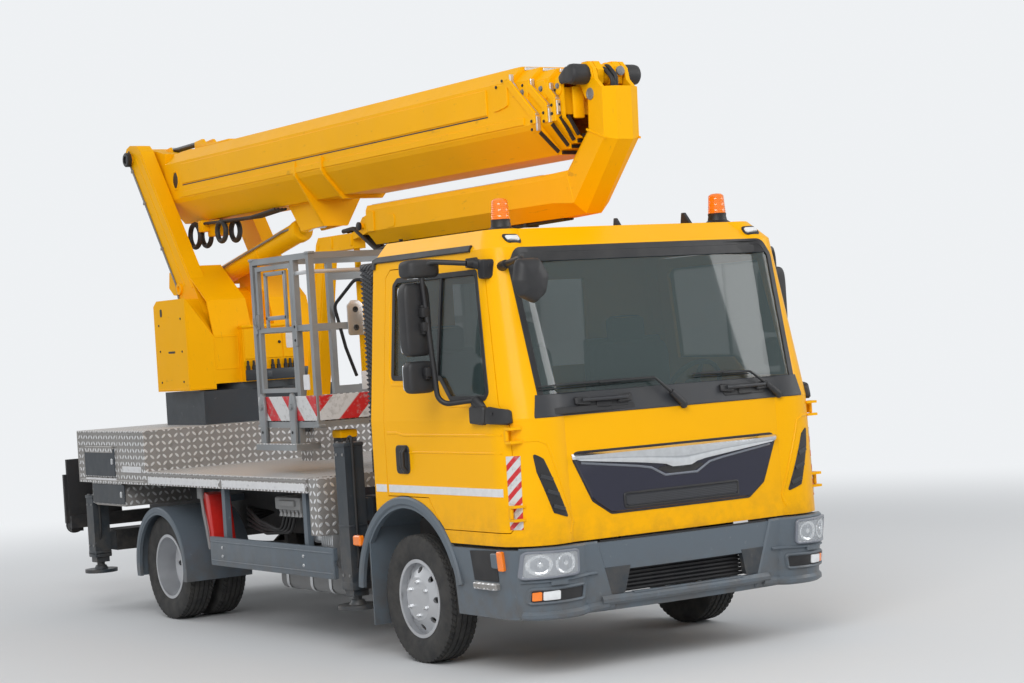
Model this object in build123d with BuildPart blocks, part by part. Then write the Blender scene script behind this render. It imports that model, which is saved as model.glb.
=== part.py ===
from build123d import *
import math
import os

os.makedirs("parts", exist_ok=True)

# Frame: front faces -Y, the vehicle's right is -X, ground at Z = 0, millimetres.

# Running gear
WHEELBASE = 3600
FRONT_AXLE_Y = -2020
REAR_AXLE_Y = FRONT_AXLE_Y + WHEELBASE
TYRE_RADIUS = 383.5
TYRE_WIDTH = 205
BEAD_WIDTH = 150
RIM_RADIUS = 222.2
FLANGE_RADIUS = 235
FRONT_TYRE_X = 974
REAR_OUTER_X = 968
TWIN_SPACING = 260
KINGPIN_X = 850
SPINDLE_RADIUS = 35
REAR_SPINDLE_RADIUS = 40
SPRING_X = 390
SPRING_WIDTH = 70
SPRING_REACH = 640
FIT = 0.3

# Chassis
RAIL_OUTER_X = 425
RAIL_FLANGE = 70
RAIL_SKIN = 7
RAIL_LOW = 600
RAIL_HIGH = 800
FRAME_FRONT = -3180
FRAME_REAR = 3315
SUBFRAME_FRONT = -1235
SUBFRAME_TOP = 990
DECK_TOP = 1085
DECK_FRONT = -840
DECK_REAR = 1680
HALF_WIDTH = 1150
BOX_REAR = 2960
BOX_TOP = 1385

# Outriggers
SIDE_LEG_X = 1080
LEG_SIZE = 130
JACK_SIZE = 104
BEAM_Y = 104
BEAM_Z = 140
BEAM_WALL = 8
BEAM_LENGTH = 1560
FOOT_RADIUS = 125
FOOT_LOW = 285

# Superstructure
SLEW_Y = 2230
RING_LOW = 1640
RING_HIGH = 1690
BASE_PLATE_TOP = 1780
COVER_LOW = 1650
PIVOT_Y = 3230
PIVOT_Z = 3530
ARM_INNER_X = 312
ARM_THICK = 118
PIVOT_PIN_RADIUS = 40
LIFT_BASE = (2700, 2500)
LIFT_EYE = (930, 2840)
BOOM_REAR = 2880
BOOM_STEP = 28
BOOM_WALL = 8
ELBOW_Y = -2750
ELBOW_Z = 3420
LEVEL_Y = 80
LEVEL_Z = 2740
TURN_Y = 360

# Basket
BASKET_HALF = 900
BASKET_FRONT = -590
BASKET_REAR = 270
BASKET_LOW = 1390
BASKET_HIGH = 2540
TUBE = 40


def block(x, y, z, mode=Mode.ADD):
    """Box between a low and a high value along each axis."""
    with Locations(((x[0] + x[1]) / 2, (y[0] + y[1]) / 2, (z[0] + z[1]) / 2)):
        Box(abs(x[1] - x[0]), abs(y[1] - y[0]), abs(z[1] - z[0]), mode=mode)


def rod(start, end, radius, bore=0, mode=Mode.ADD):
    """Round bar or tube from start to end."""
    along = Vector(*end) - Vector(*start)
    with BuildSketch(Plane(origin=start, z_dir=along)) as ring:
        Circle(radius)
        if bore:
            Circle(bore, mode=Mode.SUBTRACT)
    extrude(ring.sketch, amount=along.length, dir=along.normalized(), mode=mode)


def side_plate(points, x, mode=Mode.ADD, gap=0):
    """Plate with a (y, z) outline, grown by gap, between two x values."""
    with BuildSketch(Plane.YZ.offset(min(x))) as outline:
        Polygon(*points, align=None)
        if gap:
            offset(amount=gap, kind=Kind.INTERSECTION, mode=Mode.REPLACE)
    extrude(outline.sketch, amount=abs(x[1] - x[0]), dir=(1, 0, 0), mode=mode)


def cross_plate(points, y, mode=Mode.ADD, gap=0):
    """Plate with an (x, z) outline, grown by gap, between two y values."""
    with BuildSketch(Plane.XZ.offset(-min(y))) as outline:
        Polygon(*points, align=None)
        if gap:
            offset(amount=gap, kind=Kind.INTERSECTION, mode=Mode.REPLACE)
    extrude(outline.sketch, amount=abs(y[1] - y[0]), dir=(0, 1, 0), mode=mode)


def turned(points, y, z, mode=Mode.ADD):
    """Ring whose (x, radius) outline is turned about an axle along X."""
    with BuildSketch(Plane(origin=(0, y, z), x_dir=(1, 0, 0), z_dir=(0, -1, 0))) as outline:
        Polygon(*points, align=None)
    revolve(outline.sketch, axis=Axis((0, y, z), (1, 0, 0)), mode=mode)


def save(part, name):
    """Label one finished piece and write it."""
    part.label = name
    export_step(part, f"parts/{name}.step")


SIDES = (("right", -1), ("left", 1))

# Tyres: one solid for each tyre, the rear pairs share a node
TYRE_OUTLINE = [
    (-BEAD_WIDTH / 2, RIM_RADIUS + FIT), (-BEAD_WIDTH / 2, FLANGE_RADIUS + 1),
    (-TYRE_WIDTH / 2 + 3, FLANGE_RADIUS + 28), (-TYRE_WIDTH / 2, TYRE_RADIUS - 75),
    (-TYRE_WIDTH / 2 + 7, TYRE_RADIUS - 20), (-TYRE_WIDTH / 2 + 22, TYRE_RADIUS),
    (TYRE_WIDTH / 2 - 22, TYRE_RADIUS), (TYRE_WIDTH / 2 - 7, TYRE_RADIUS - 20),
    (TYRE_WIDTH / 2, TYRE_RADIUS - 75), (TYRE_WIDTH / 2 - 3, FLANGE_RADIUS + 28),
    (BEAD_WIDTH / 2, FLANGE_RADIUS + 1), (BEAD_WIDTH / 2, RIM_RADIUS + FIT),
]
BARREL_OUTLINE = [
    (-BEAD_WIDTH / 2 - 9, FLANGE_RADIUS), (-BEAD_WIDTH / 2 - 9, RIM_RADIUS - 8),
    (BEAD_WIDTH / 2 + 9, RIM_RADIUS - 8), (BEAD_WIDTH / 2 + 9, FLANGE_RADIUS),
    (BEAD_WIDTH / 2 + FIT, FLANGE_RADIUS), (BEAD_WIDTH / 2 + FIT, RIM_RADIUS),
    (-BEAD_WIDTH / 2 - FIT, RIM_RADIUS), (-BEAD_WIDTH / 2 - FIT, FLANGE_RADIUS),
]
BARREL_BORE = RIM_RADIUS - 8


def shifted(outline, x, side):
    """Wheel outline moved to x and mirrored to its side of the vehicle."""
    return [(side * (x + offset), radius) for offset, radius in outline]


# Columns: name part, side
for name, side in SIDES:
    with BuildPart() as front_tyre:
        turned(shifted(TYRE_OUTLINE, FRONT_TYRE_X, side), FRONT_AXLE_Y, TYRE_RADIUS)
    save(front_tyre.part, f"front_tyre_{name}")

    with BuildPart() as rear_tyres:
        for x in (REAR_OUTER_X, REAR_OUTER_X - TWIN_SPACING):
            turned(shifted(TYRE_OUTLINE, x, side), REAR_AXLE_Y, TYRE_RADIUS)
    save(rear_tyres.part, f"rear_tyres_{name}")

    # Front wheel: barrel, cone with hand holes, raised hub ring
    front_disc = [(25, BARREL_BORE + 1), (40, BARREL_BORE + 1), (92, 128), (92, 60), (76, 60), (76, 122)]
    front_hub = [(-45, SPINDLE_RADIUS + FIT), (-45, 78), (92, 78), (92, 0), (72, 0), (72, SPINDLE_RADIUS + FIT)]
    with BuildPart() as front_rim:
        for outline in (BARREL_OUTLINE, front_disc, front_hub):
            turned(shifted(outline, FRONT_TYRE_X, side), FRONT_AXLE_Y, TYRE_RADIUS)
        for step in range(8):
            angle = math.radians(45 * step)
            y = FRONT_AXLE_Y + 170 * math.cos(angle)
            z = TYRE_RADIUS + 170 * math.sin(angle)
            rod((side * FRONT_TYRE_X, y, z), (side * (FRONT_TYRE_X + 100), y, z), 19, mode=Mode.SUBTRACT)
    save(front_rim.part, f"front_rim_{name}")

    # Rear wheels: two barrels whose discs meet on one hub
    mid_x = REAR_OUTER_X - TWIN_SPACING / 2
    outer_disc = [(-62, BARREL_BORE + 1), (-76, BARREL_BORE + 1), (-120, 138), (-120, 60), (-106, 60), (-106, 132)]
    inner_disc = [(x + TWIN_SPACING, r) for x, r in [(-2 * TWIN_SPACING - offset, r) for offset, r in outer_disc]]
    rear_bore = REAR_SPINDLE_RADIUS + FIT
    rear_hub = [(-270, rear_bore), (-270, 105), (-100, 105), (-100, 62), (-52, 62), (-52, 0), (-70, 0),
                (-70, rear_bore)]
    with BuildPart() as rear_rim:
        turned(shifted(BARREL_OUTLINE, REAR_OUTER_X, side), REAR_AXLE_Y, TYRE_RADIUS)
        turned(shifted(BARREL_OUTLINE, REAR_OUTER_X - TWIN_SPACING, side), REAR_AXLE_Y, TYRE_RADIUS)
        for outline in (outer_disc, inner_disc, rear_hub):
            turned(shifted(outline, REAR_OUTER_X, side), REAR_AXLE_Y, TYRE_RADIUS)
        for step in range(8):
            angle = math.radians(45 * step)
            y = REAR_AXLE_Y + 172 * math.cos(angle)
            z = TYRE_RADIUS + 172 * math.sin(angle)
            rod((side * 740, y, z), (side * (REAR_OUTER_X - 50), y, z), 19, mode=Mode.SUBTRACT)
    save(rear_rim.part, f"rear_rims_{name}")

    # Steering knuckle: fork around the axle eye, stub axle, brake plate
    with BuildPart() as knuckle:
        for low, high in ((46, 95), (-95, -46)):
            z = (TYRE_RADIUS + low, TYRE_RADIUS + high)
            rod((side * KINGPIN_X, FRONT_AXLE_Y, z[0]), (side * KINGPIN_X, FRONT_AXLE_Y, z[1]), 38)
            block((side * KINGPIN_X, side * 900), (FRONT_AXLE_Y - 38, FRONT_AXLE_Y + 38), z)
        block((side * 893, side * 915), (FRONT_AXLE_Y - 55, FRONT_AXLE_Y + 55),
              (TYRE_RADIUS - 95, TYRE_RADIUS + 95))
        rod((side * KINGPIN_X, FRONT_AXLE_Y, TYRE_RADIUS - 95),
            (side * KINGPIN_X, FRONT_AXLE_Y, TYRE_RADIUS + 95), 15)
        rod((side * 905, FRONT_AXLE_Y, TYRE_RADIUS), (side * (FRONT_TYRE_X + 70), FRONT_AXLE_Y, TYRE_RADIUS),
            SPINDLE_RADIUS)
        rod((side * 905, FRONT_AXLE_Y, TYRE_RADIUS), (side * 923, FRONT_AXLE_Y, TYRE_RADIUS), 165)
        block((side * 820, side * 900), (FRONT_AXLE_Y + 30, FRONT_AXLE_Y + 180),
              (TYRE_RADIUS - 95, TYRE_RADIUS - 70))
    save(knuckle.part, f"knuckle_{name}")

# Axles: front beam with kingpin eyes; rear tube with differential, brake plates, hub spindles, drive shaft
GEARBOX_REAR = -1560
with BuildPart() as axles:
    block((-780, 780), (FRONT_AXLE_Y - 42, FRONT_AXLE_Y + 42), (TYRE_RADIUS - 55, TYRE_RADIUS + 30))
    for side in (-1, 1):
        rod((side * KINGPIN_X, FRONT_AXLE_Y, TYRE_RADIUS - 45.7),
            (side * KINGPIN_X, FRONT_AXLE_Y, TYRE_RADIUS + 45.7), 38)
        block((side * 760, side * KINGPIN_X), (FRONT_AXLE_Y - 30, FRONT_AXLE_Y + 30),
              (TYRE_RADIUS - 40, TYRE_RADIUS + 40))
        rod((side * KINGPIN_X, FRONT_AXLE_Y, TYRE_RADIUS - 60),
            (side * KINGPIN_X, FRONT_AXLE_Y, TYRE_RADIUS + 60), 15 + FIT, mode=Mode.SUBTRACT)
    half = [(0, 0), (0, 185), (70, 185), (170, 110), (190, 62), (600, 62), (600, 160), (618, 160),
            (618, REAR_SPINDLE_RADIUS),
            (REAR_OUTER_X - 74, REAR_SPINDLE_RADIUS), (REAR_OUTER_X - 74, 0)]
    for side in (-1, 1):
        turned([(side * x, radius) for x, radius in half], REAR_AXLE_Y, TYRE_RADIUS)
        block((side * (SPRING_X - 35), side * (SPRING_X + 35)), (REAR_AXLE_Y - 60, REAR_AXLE_Y + 60),
              (TYRE_RADIUS, TYRE_RADIUS + 80))
    rod((0, REAR_AXLE_Y - 215, TYRE_RADIUS + 20), (0, REAR_AXLE_Y, TYRE_RADIUS + 20), 60)
    rod((0, GEARBOX_REAR + 4, 640), (0, REAR_AXLE_Y - 150, TYRE_RADIUS + 24), 38)
save(axles.part, "axles")

# Leaf springs: an arc of leaves on each side, seated on its axle
SPRING_END_Z = 520
SPRING_THICK = 42


def spring_pair(axle_y, seat_z):
    """Two arched leaf packs that rest on the axle at seat_z and rise to the frame brackets."""
    for side in (-1, 1):
        with BuildSketch(Plane.YZ.offset(side * SPRING_X - SPRING_WIDTH / 2)) as leaves:
            with BuildLine():
                low = ThreePointArc((axle_y - SPRING_REACH, SPRING_END_Z), (axle_y, seat_z),
                                    (axle_y + SPRING_REACH, SPRING_END_Z))
                Line(low @ 1, (axle_y + SPRING_REACH, SPRING_END_Z + SPRING_THICK / 2))
                ThreePointArc((axle_y + SPRING_REACH, SPRING_END_Z + SPRING_THICK / 2),
                              (axle_y, seat_z + SPRING_THICK),
                              (axle_y - SPRING_REACH, SPRING_END_Z + SPRING_THICK / 2))
                Line((axle_y - SPRING_REACH, SPRING_END_Z + SPRING_THICK / 2), low @ 0)
            make_face()
        extrude(leaves.sketch, amount=SPRING_WIDTH, dir=(1, 0, 0))


with BuildPart() as leaf_springs:
    spring_pair(FRONT_AXLE_Y, TYRE_RADIUS + 30 + FIT)
    spring_pair(REAR_AXLE_Y, TYRE_RADIUS + 80 + FIT)
save(leaf_springs.part, "leaf_springs")

# Outriggers. Columns: name, slot y of the right beam, of the left beam, beam height, leg low, leg high
OUTRIGGERS = (
    ("front", -1300, -1420, 890, 400, 1300),
    ("rear", 2810, 2930, 520, 400, 870),
)
CAB_FLOOR = 1035
CAB_FLOOR_THICK = 40

# Chassis: channel rails, cross members, spring brackets, cab mounts, subframe, outrigger housings
CROSS_MEMBERS = (-3070, -1480, -500, 400, 1000, 2050, 3240)
with BuildPart() as chassis:
    for side in (-1, 1):
        web = (side * RAIL_OUTER_X, side * (RAIL_OUTER_X - RAIL_SKIN))
        flange = (side * RAIL_OUTER_X, side * (RAIL_OUTER_X - RAIL_FLANGE))
        block(web, (FRAME_FRONT, FRAME_REAR), (RAIL_LOW, RAIL_HIGH))
        block(flange, (FRAME_FRONT, FRAME_REAR), (RAIL_LOW, RAIL_LOW + RAIL_SKIN))
        block(flange, (FRAME_FRONT, FRAME_REAR), (RAIL_HIGH - RAIL_SKIN, RAIL_HIGH))
        for axle_y in (FRONT_AXLE_Y, REAR_AXLE_Y):
            for end in (-1, 1):
                y = axle_y + end * (SPRING_REACH + FIT)
                block((side * (SPRING_X - 35), side * (SPRING_X + 35)), (y, y + end * 50),
                      (SPRING_END_Z - 20, RAIL_LOW))
    for y in CROSS_MEMBERS:
        block((-RAIL_OUTER_X + 2, RAIL_OUTER_X - 2), (y - 35, y + 35), (725, 793))
    for side in (-1, 1):
        block((side * RAIL_OUTER_X, side * (RAIL_OUTER_X - RAIL_FLANGE)), (SUBFRAME_FRONT, BOX_REAR),
              (RAIL_HIGH, SUBFRAME_TOP))
        for y in (-3000, -1740):
            block((side * 370, side * 420), (y - 30, y + 30), (RAIL_HIGH, CAB_FLOOR - CAB_FLOOR_THICK))
    for y in (SUBFRAME_FRONT + 40, -300, 500, 1100, 1920, 2540):
        block((-RAIL_OUTER_X + 2, RAIL_OUTER_X - 2), (y - 40, y + 40), (RAIL_HIGH + 20, SUBFRAME_TOP - 10))
    for place, right_y, left_y, height, leg_low, leg_high in OUTRIGGERS:
        front_y, rear_y = sorted((right_y, left_y))
        block((-960, 960), (front_y - 60, rear_y + 60), (height - 80, height + 80))
        for y in (right_y, left_y):
            block((-961, 961), (y - BEAM_Y / 2 - FIT, y + BEAM_Y / 2 + FIT),
                  (height - BEAM_Z / 2 - FIT, height + BEAM_Z / 2 + FIT), mode=Mode.SUBTRACT)
        # The low housing touches the rails; the high one stands on them
        if height > RAIL_LOW:
            for side in (-1, 1):
                block((side * RAIL_OUTER_X, side * (RAIL_OUTER_X - RAIL_FLANGE)), (front_y - 60, rear_y + 60),
                      (RAIL_HIGH, height - 80))
save(chassis.part, "chassis")

# Engine with gearbox, one plain block
with BuildPart() as engine:
    block((-280, 280), (-3020, -2300), (640, 1110))
    block((-140, 140), (-2300, GEARBOX_REAR), (560, 715))
    for y in (-2900, -2420):
        block((-RAIL_OUTER_X + RAIL_SKIN + FIT, RAIL_OUTER_X - RAIL_SKIN - FIT), (y - 40, y + 40), (650, 700))
save(engine.part, "engine")

# Tanks and boxes hung from the rails: silencer on the right, fuel tank and battery box on the left
with BuildPart() as side_tanks:
    block((-RAIL_OUTER_X, -900), (-800, 80), (300, 560))
    block((RAIL_OUTER_X, 960), (-1000, -200), (330, 720))
    fillet(side_tanks.edges().filter_by(Axis.Y), 60)
    block((-RAIL_OUTER_X, -RAIL_OUTER_X - 40), (-700, -20), (520, 700))
    block((RAIL_OUTER_X, 940), (-120, 480), (420, 740))
save(side_tanks.part, "side_tanks")

# Side guards: two rails on posts below the deck
GUARD_X = 1124
with BuildPart() as side_guards:
    for side in (-1, 1):
        for low, high in ((454, 530), (570, 646)):
            block((side * GUARD_X, side * (GUARD_X - 25)), (-1106, 700), (low, high))
        for y in (-700, 500):
            block((side * (GUARD_X - 25), side * (GUARD_X - 65)), (y - 25, y + 25), (454, 990))
save(side_guards.part, "side_guards")

# Deck: checker plate on an edge frame and bearers, with the rest for the stowed basket carrier
REST_Y = 1150
with BuildPart() as deck:
    block((-HALF_WIDTH, HALF_WIDTH), (DECK_FRONT, DECK_REAR), (SUBFRAME_TOP, DECK_TOP))
    block((-HALF_WIDTH + 6, HALF_WIDTH - 6), (DECK_FRONT + 6, DECK_REAR - 6), (SUBFRAME_TOP - 1, DECK_TOP - 5),
          mode=Mode.SUBTRACT)
    for y in (-720, -300, 120, 540, 960, 1380):
        block((-HALF_WIDTH + 3, HALF_WIDTH - 3), (y - 30, y + 30), (SUBFRAME_TOP, DECK_TOP - 3))
    block((-90, 90), (REST_Y - 90, REST_Y + 90), (DECK_TOP, 1250))
    block((-60, 60), (REST_Y - 80, REST_Y + 80), (1250, 1375))
save(deck.part, "deck")

# Rear box: plated locker body around the pedestal, with lower lockers under it
PEDESTAL_HALF = 550
PEDESTAL_Y = (1880, 2580)
LOCKER_DOOR_Y = (2220, 2834)
LOCKER_DOOR_Z = (1029, 1259)
LID_HINGE_RADIUS = 6
LID_HINGE_X = HALF_WIDTH + LID_HINGE_RADIUS + FIT
LID_HINGE_Z = LOCKER_DOOR_Z[1] + 3
with BuildPart() as rear_box:
    block((-HALF_WIDTH, HALF_WIDTH), (DECK_REAR, BOX_REAR), (SUBFRAME_TOP, BOX_TOP))
    for side in (-1, 1):
        block((side * (HALF_WIDTH - 4), side * 600), (DECK_REAR + 4, BOX_REAR - 4),
              (SUBFRAME_TOP + 4, BOX_TOP - 4), mode=Mode.SUBTRACT)
        block((side * (HALF_WIDTH - 40), side * (HALF_WIDTH + 1)), LOCKER_DOOR_Y, LOCKER_DOOR_Z,
              mode=Mode.SUBTRACT)
    block((-590, 590), (DECK_REAR + 4, BOX_REAR - 4), (SUBFRAME_TOP - 1, BOX_TOP - 4), mode=Mode.SUBTRACT)
    block((-PEDESTAL_HALF - FIT, PEDESTAL_HALF + FIT), (PEDESTAL_Y[0] - FIT, PEDESTAL_Y[1] + FIT),
          (BOX_TOP - 10, BOX_TOP + 1), mode=Mode.SUBTRACT)
    for side in (-1, 1):
        side_plate([(2180, 991), (2735, 991), (2735, 830), (2660, 815), (2100, 815)],
                   (side * 600, side * (HALF_WIDTH - 10)))
save(rear_box.part, "rear_box")

for name, side in SIDES:
    with BuildPart() as locker_door:
        block((side * (HALF_WIDTH - 22), side * (HALF_WIDTH + 1)), (LOCKER_DOOR_Y[0] + 5, LOCKER_DOOR_Y[1] - 5),
              (LOCKER_DOOR_Z[0] + 5, LOCKER_DOOR_Z[1] - 5))
        block((side * (HALF_WIDTH + FIT), side * (LID_HINGE_X + LID_HINGE_RADIUS)),
              (LOCKER_DOOR_Y[0] + 40, LOCKER_DOOR_Y[1] - 40), (LOCKER_DOOR_Z[1] - 40, LID_HINGE_Z))
        rod((side * LID_HINGE_X, LOCKER_DOOR_Y[0] + 40, LID_HINGE_Z), (side * LID_HINGE_X, LOCKER_DOOR_Y[1] - 40,
            LID_HINGE_Z), LID_HINGE_RADIUS)
    save(locker_door.part, f"locker_door_{name}")

# Rear boards, lamp bar and round lamps
with BuildPart() as rear_bar:
    block((-1100, 1100), (FRAME_REAR, FRAME_REAR + 60), (600, 700))
    for side in (-1, 1):
        block((side * 640, side * 1120), (FRAME_REAR + 60, FRAME_REAR + 90), (640, 1030))
        block((side * 700, side * 1100), (FRAME_REAR + 30, FRAME_REAR + 60), (700, 1150))
        rod((side * 1030, FRAME_REAR + 90, 620), (side * 1030, FRAME_REAR + 125, 620), 62)
        block((side * 980, side * 1080), (FRAME_REAR + 60, FRAME_REAR + 90), (570, 640))
save(rear_bar.part, "rear_bar")

# Mudguards: front ones close the cab's arches, rear ones arch over the twin wheels
ARCH_RADIUS = 615
FENDER_REAR = FRONT_AXLE_Y + 455
GUARD_INNER = 430
with BuildPart() as mudguards:
    for side in (-1, 1):
        rod((side * 760, FRONT_AXLE_Y, TYRE_RADIUS), (side * 1120, FRONT_AXLE_Y, TYRE_RADIUS), ARCH_RADIUS - 0.5,
            bore=ARCH_RADIUS - 10)
        rod((side * 1090, FRONT_AXLE_Y, TYRE_RADIUS), (side * 1120, FRONT_AXLE_Y, TYRE_RADIUS), ARCH_RADIUS - 0.5,
            bore=545)
        block((side * 750, side * 1130), (FRONT_AXLE_Y - 700, FRONT_AXLE_Y + 700), (-300, 352), mode=Mode.SUBTRACT)
        block((side * 750, side * 1130), (FRONT_AXLE_Y - 700, FRONT_AXLE_Y - 500), (300, 740), mode=Mode.SUBTRACT)
        block((side * 750, side * 1130), (FENDER_REAR, FENDER_REAR + 200), (300, 1100), mode=Mode.SUBTRACT)
        block((side * 760, side * 1120), (FENDER_REAR - 10, FENDER_REAR), (200, 792))
        rod((side * 600, REAR_AXLE_Y, TYRE_RADIUS), (side * 1120, REAR_AXLE_Y, TYRE_RADIUS),
            GUARD_INNER + 12, bore=GUARD_INNER)
        rod((side * 1096, REAR_AXLE_Y, TYRE_RADIUS), (side * 1120, REAR_AXLE_Y, TYRE_RADIUS),
            GUARD_INNER + 12, bore=GUARD_INNER - 45)
        block((side * 590, side * 1130), (REAR_AXLE_Y - 500, REAR_AXLE_Y + 500), (-100, 300), mode=Mode.SUBTRACT)
        block((side * RAIL_OUTER_X, side * 640), (REAR_AXLE_Y - 25, REAR_AXLE_Y + 25),
              (TYRE_RADIUS + GUARD_INNER + 2, TYRE_RADIUS + GUARD_INNER + 50))
save(mudguards.part, "mudguards")

for place, right_y, left_y, height, leg_low, leg_high in OUTRIGGERS:
    for name, side in SIDES:
        y = right_y if side < 0 else left_y
        with BuildPart() as beam:
            block((side * (SIDE_LEG_X - 40), side * (SIDE_LEG_X - BEAM_LENGTH)),
                  (y - BEAM_Y / 2, y + BEAM_Y / 2), (height - BEAM_Z / 2, height + BEAM_Z / 2))
            block((side * (SIDE_LEG_X - LEG_SIZE), side * (SIDE_LEG_X - BEAM_LENGTH - 1)),
                  (y - BEAM_Y / 2 + BEAM_WALL, y + BEAM_Y / 2 - BEAM_WALL),
                  (height - BEAM_Z / 2 + BEAM_WALL, height + BEAM_Z / 2 - BEAM_WALL), mode=Mode.SUBTRACT)
            block((side * (SIDE_LEG_X - LEG_SIZE / 2), side * (SIDE_LEG_X + LEG_SIZE / 2)),
                  (y - LEG_SIZE / 2, y + LEG_SIZE / 2), (leg_low, leg_high))
            block((side * (SIDE_LEG_X - JACK_SIZE / 2 - FIT), side * (SIDE_LEG_X + JACK_SIZE / 2 + FIT)),
                  (y - JACK_SIZE / 2 - FIT, y + JACK_SIZE / 2 + FIT), (leg_low - 1, leg_high - 12),
                  mode=Mode.SUBTRACT)
        save(beam.part, f"outrigger_{place}_{name}")

        with BuildPart() as jack:
            block((side * (SIDE_LEG_X - JACK_SIZE / 2), side * (SIDE_LEG_X + JACK_SIZE / 2)),
                  (y - JACK_SIZE / 2, y + JACK_SIZE / 2), (leg_low - 40, leg_high - 20))
            rod((side * SIDE_LEG_X, y, FOOT_LOW + 20), (side * SIDE_LEG_X, y, leg_low), 30)
            rod((side * SIDE_LEG_X, y, FOOT_LOW), (side * SIDE_LEG_X, y, FOOT_LOW + 22), FOOT_RADIUS)
        save(jack.part, f"jack_{place}_{name}")

# Cab levels. Columns: height, rear y, side x, y where the side ends, x and y where the front begins, nose y
CAB_LOWER = (745, -1675, 1115, -3020, 760, -3246, -3266)
CAB_BELT = (1447, -1675, 1115, -3000, 760, -3226, -3250)
CAB_HEADER = (2405, -1675, 1030, -2890, 820, -3010, -3040)
CAB_ROOF = (2515, -1715, 950, -2800, 760, -2880, -2900)
CAB_WALL = 40
CAB_SKIRT = 75


def cab_outline(level, inset=0, height=None, rear_inset=None):
    """Cab plan at one level: straight rear and sides, round corners, crowned front."""
    z, rear, side, corner_y, front_x, front_y, nose = level
    z = z if height is None else height
    back = rear - (inset if rear_inset is None else rear_inset)
    half = side - inset
    with BuildSketch(Plane.XY.offset(z)) as outline:
        with BuildLine():
            Line((-half, back), (half, back))
            Line((half, back), (half, corner_y + inset / 2))
            TangentArc((half, corner_y + inset / 2), (front_x - inset / 2, front_y + inset), tangent=(0, -1))
            ThreePointArc((front_x - inset / 2, front_y + inset), (0, nose + inset),
                          (-front_x + inset / 2, front_y + inset))
            TangentArc((-half, corner_y + inset / 2), (-front_x + inset / 2, front_y + inset), tangent=(0, -1))
            Line((-half, corner_y + inset / 2), (-half, back))
        make_face()
    return outline.sketch


def cab_body(inset=0, low=None, roof_inset=None, mode=Mode.ADD):
    """Cab volume as three stacked lofts, with every wall moved in by inset."""
    roof_z = CAB_ROOF[0] - (inset if roof_inset is None else roof_inset)
    sections = [
        cab_outline(CAB_LOWER, inset, low),
        cab_outline(CAB_BELT, inset),
        cab_outline(CAB_HEADER, inset),
        cab_outline(CAB_ROOF, inset, roof_z),
    ]
    for lower, upper in zip(sections, sections[1:]):
        loft([lower, upper], ruled=True, mode=mode)


DOOR_GAP = 5
DOOR_HINGE_X = 1096
DOOR_HINGE_Y = -3150
DOOR_HINGE_Z = (930, 1360)
SLEEVE_HALF = 28
SLEEVE_RADIUS = 11
HINGE_PIN_RADIUS = 6
DOOR_OUTLINE = [
    (-1830, 1000), (-1830, 2300), (-1880, 2345), (-2860, 2345), (-2935, 2280), (-3075, 1530),
    (-3140, 1440), (-3165, 870), (-3120, 822), (-2440, 822), (-2300, 1000),
]
DOOR_WINDOW = [
    (-1930, 1700), (-1930, 2250), (-1970, 2280), (-2850, 2280), (-2985, 1600), (-2960, 1570),
    (-2600, 1570), (-2480, 1690),
]
SCREEN_OUTLINE = [(-900, 1475), (-930, 2300), (-880, 2385), (880, 2385), (930, 2300), (900, 1475)]


with BuildPart() as cab_inner:
    cab_body(CAB_WALL, low=CAB_FLOOR, roof_inset=45)

with BuildPart() as cab_under:
    loft([cab_outline(CAB_LOWER, CAB_SKIRT, 700, -10),
          cab_outline(CAB_LOWER, CAB_SKIRT, CAB_FLOOR - CAB_FLOOR_THICK, -10)], ruled=True)

# The doors and their openings lie in the outer wall only
with BuildPart() as door_inner:
    cab_body(CAB_WALL, low=690, roof_inset=45)

with BuildPart() as door_space:
    for side in (-1, 1):
        side_plate(DOOR_OUTLINE, (side * 950, side * 1200), gap=DOOR_GAP)
    cab_body(CAB_WALL + DOOR_GAP, low=690, roof_inset=50, mode=Mode.SUBTRACT)

# Room for the front edge of the open door behind the skirt's skin
DOOR_SWING = 97
with BuildPart() as door_swing:
    for side in (-1, 1):
        rod((side * DOOR_HINGE_X, DOOR_HINGE_Y, 800), (side * DOOR_HINGE_X, DOOR_HINGE_Y, CAB_FLOOR + 5),
            DOOR_SWING)
    side_plate(DOOR_OUTLINE, (-1250, 1250), mode=Mode.INTERSECT, gap=DOOR_GAP)

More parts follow.
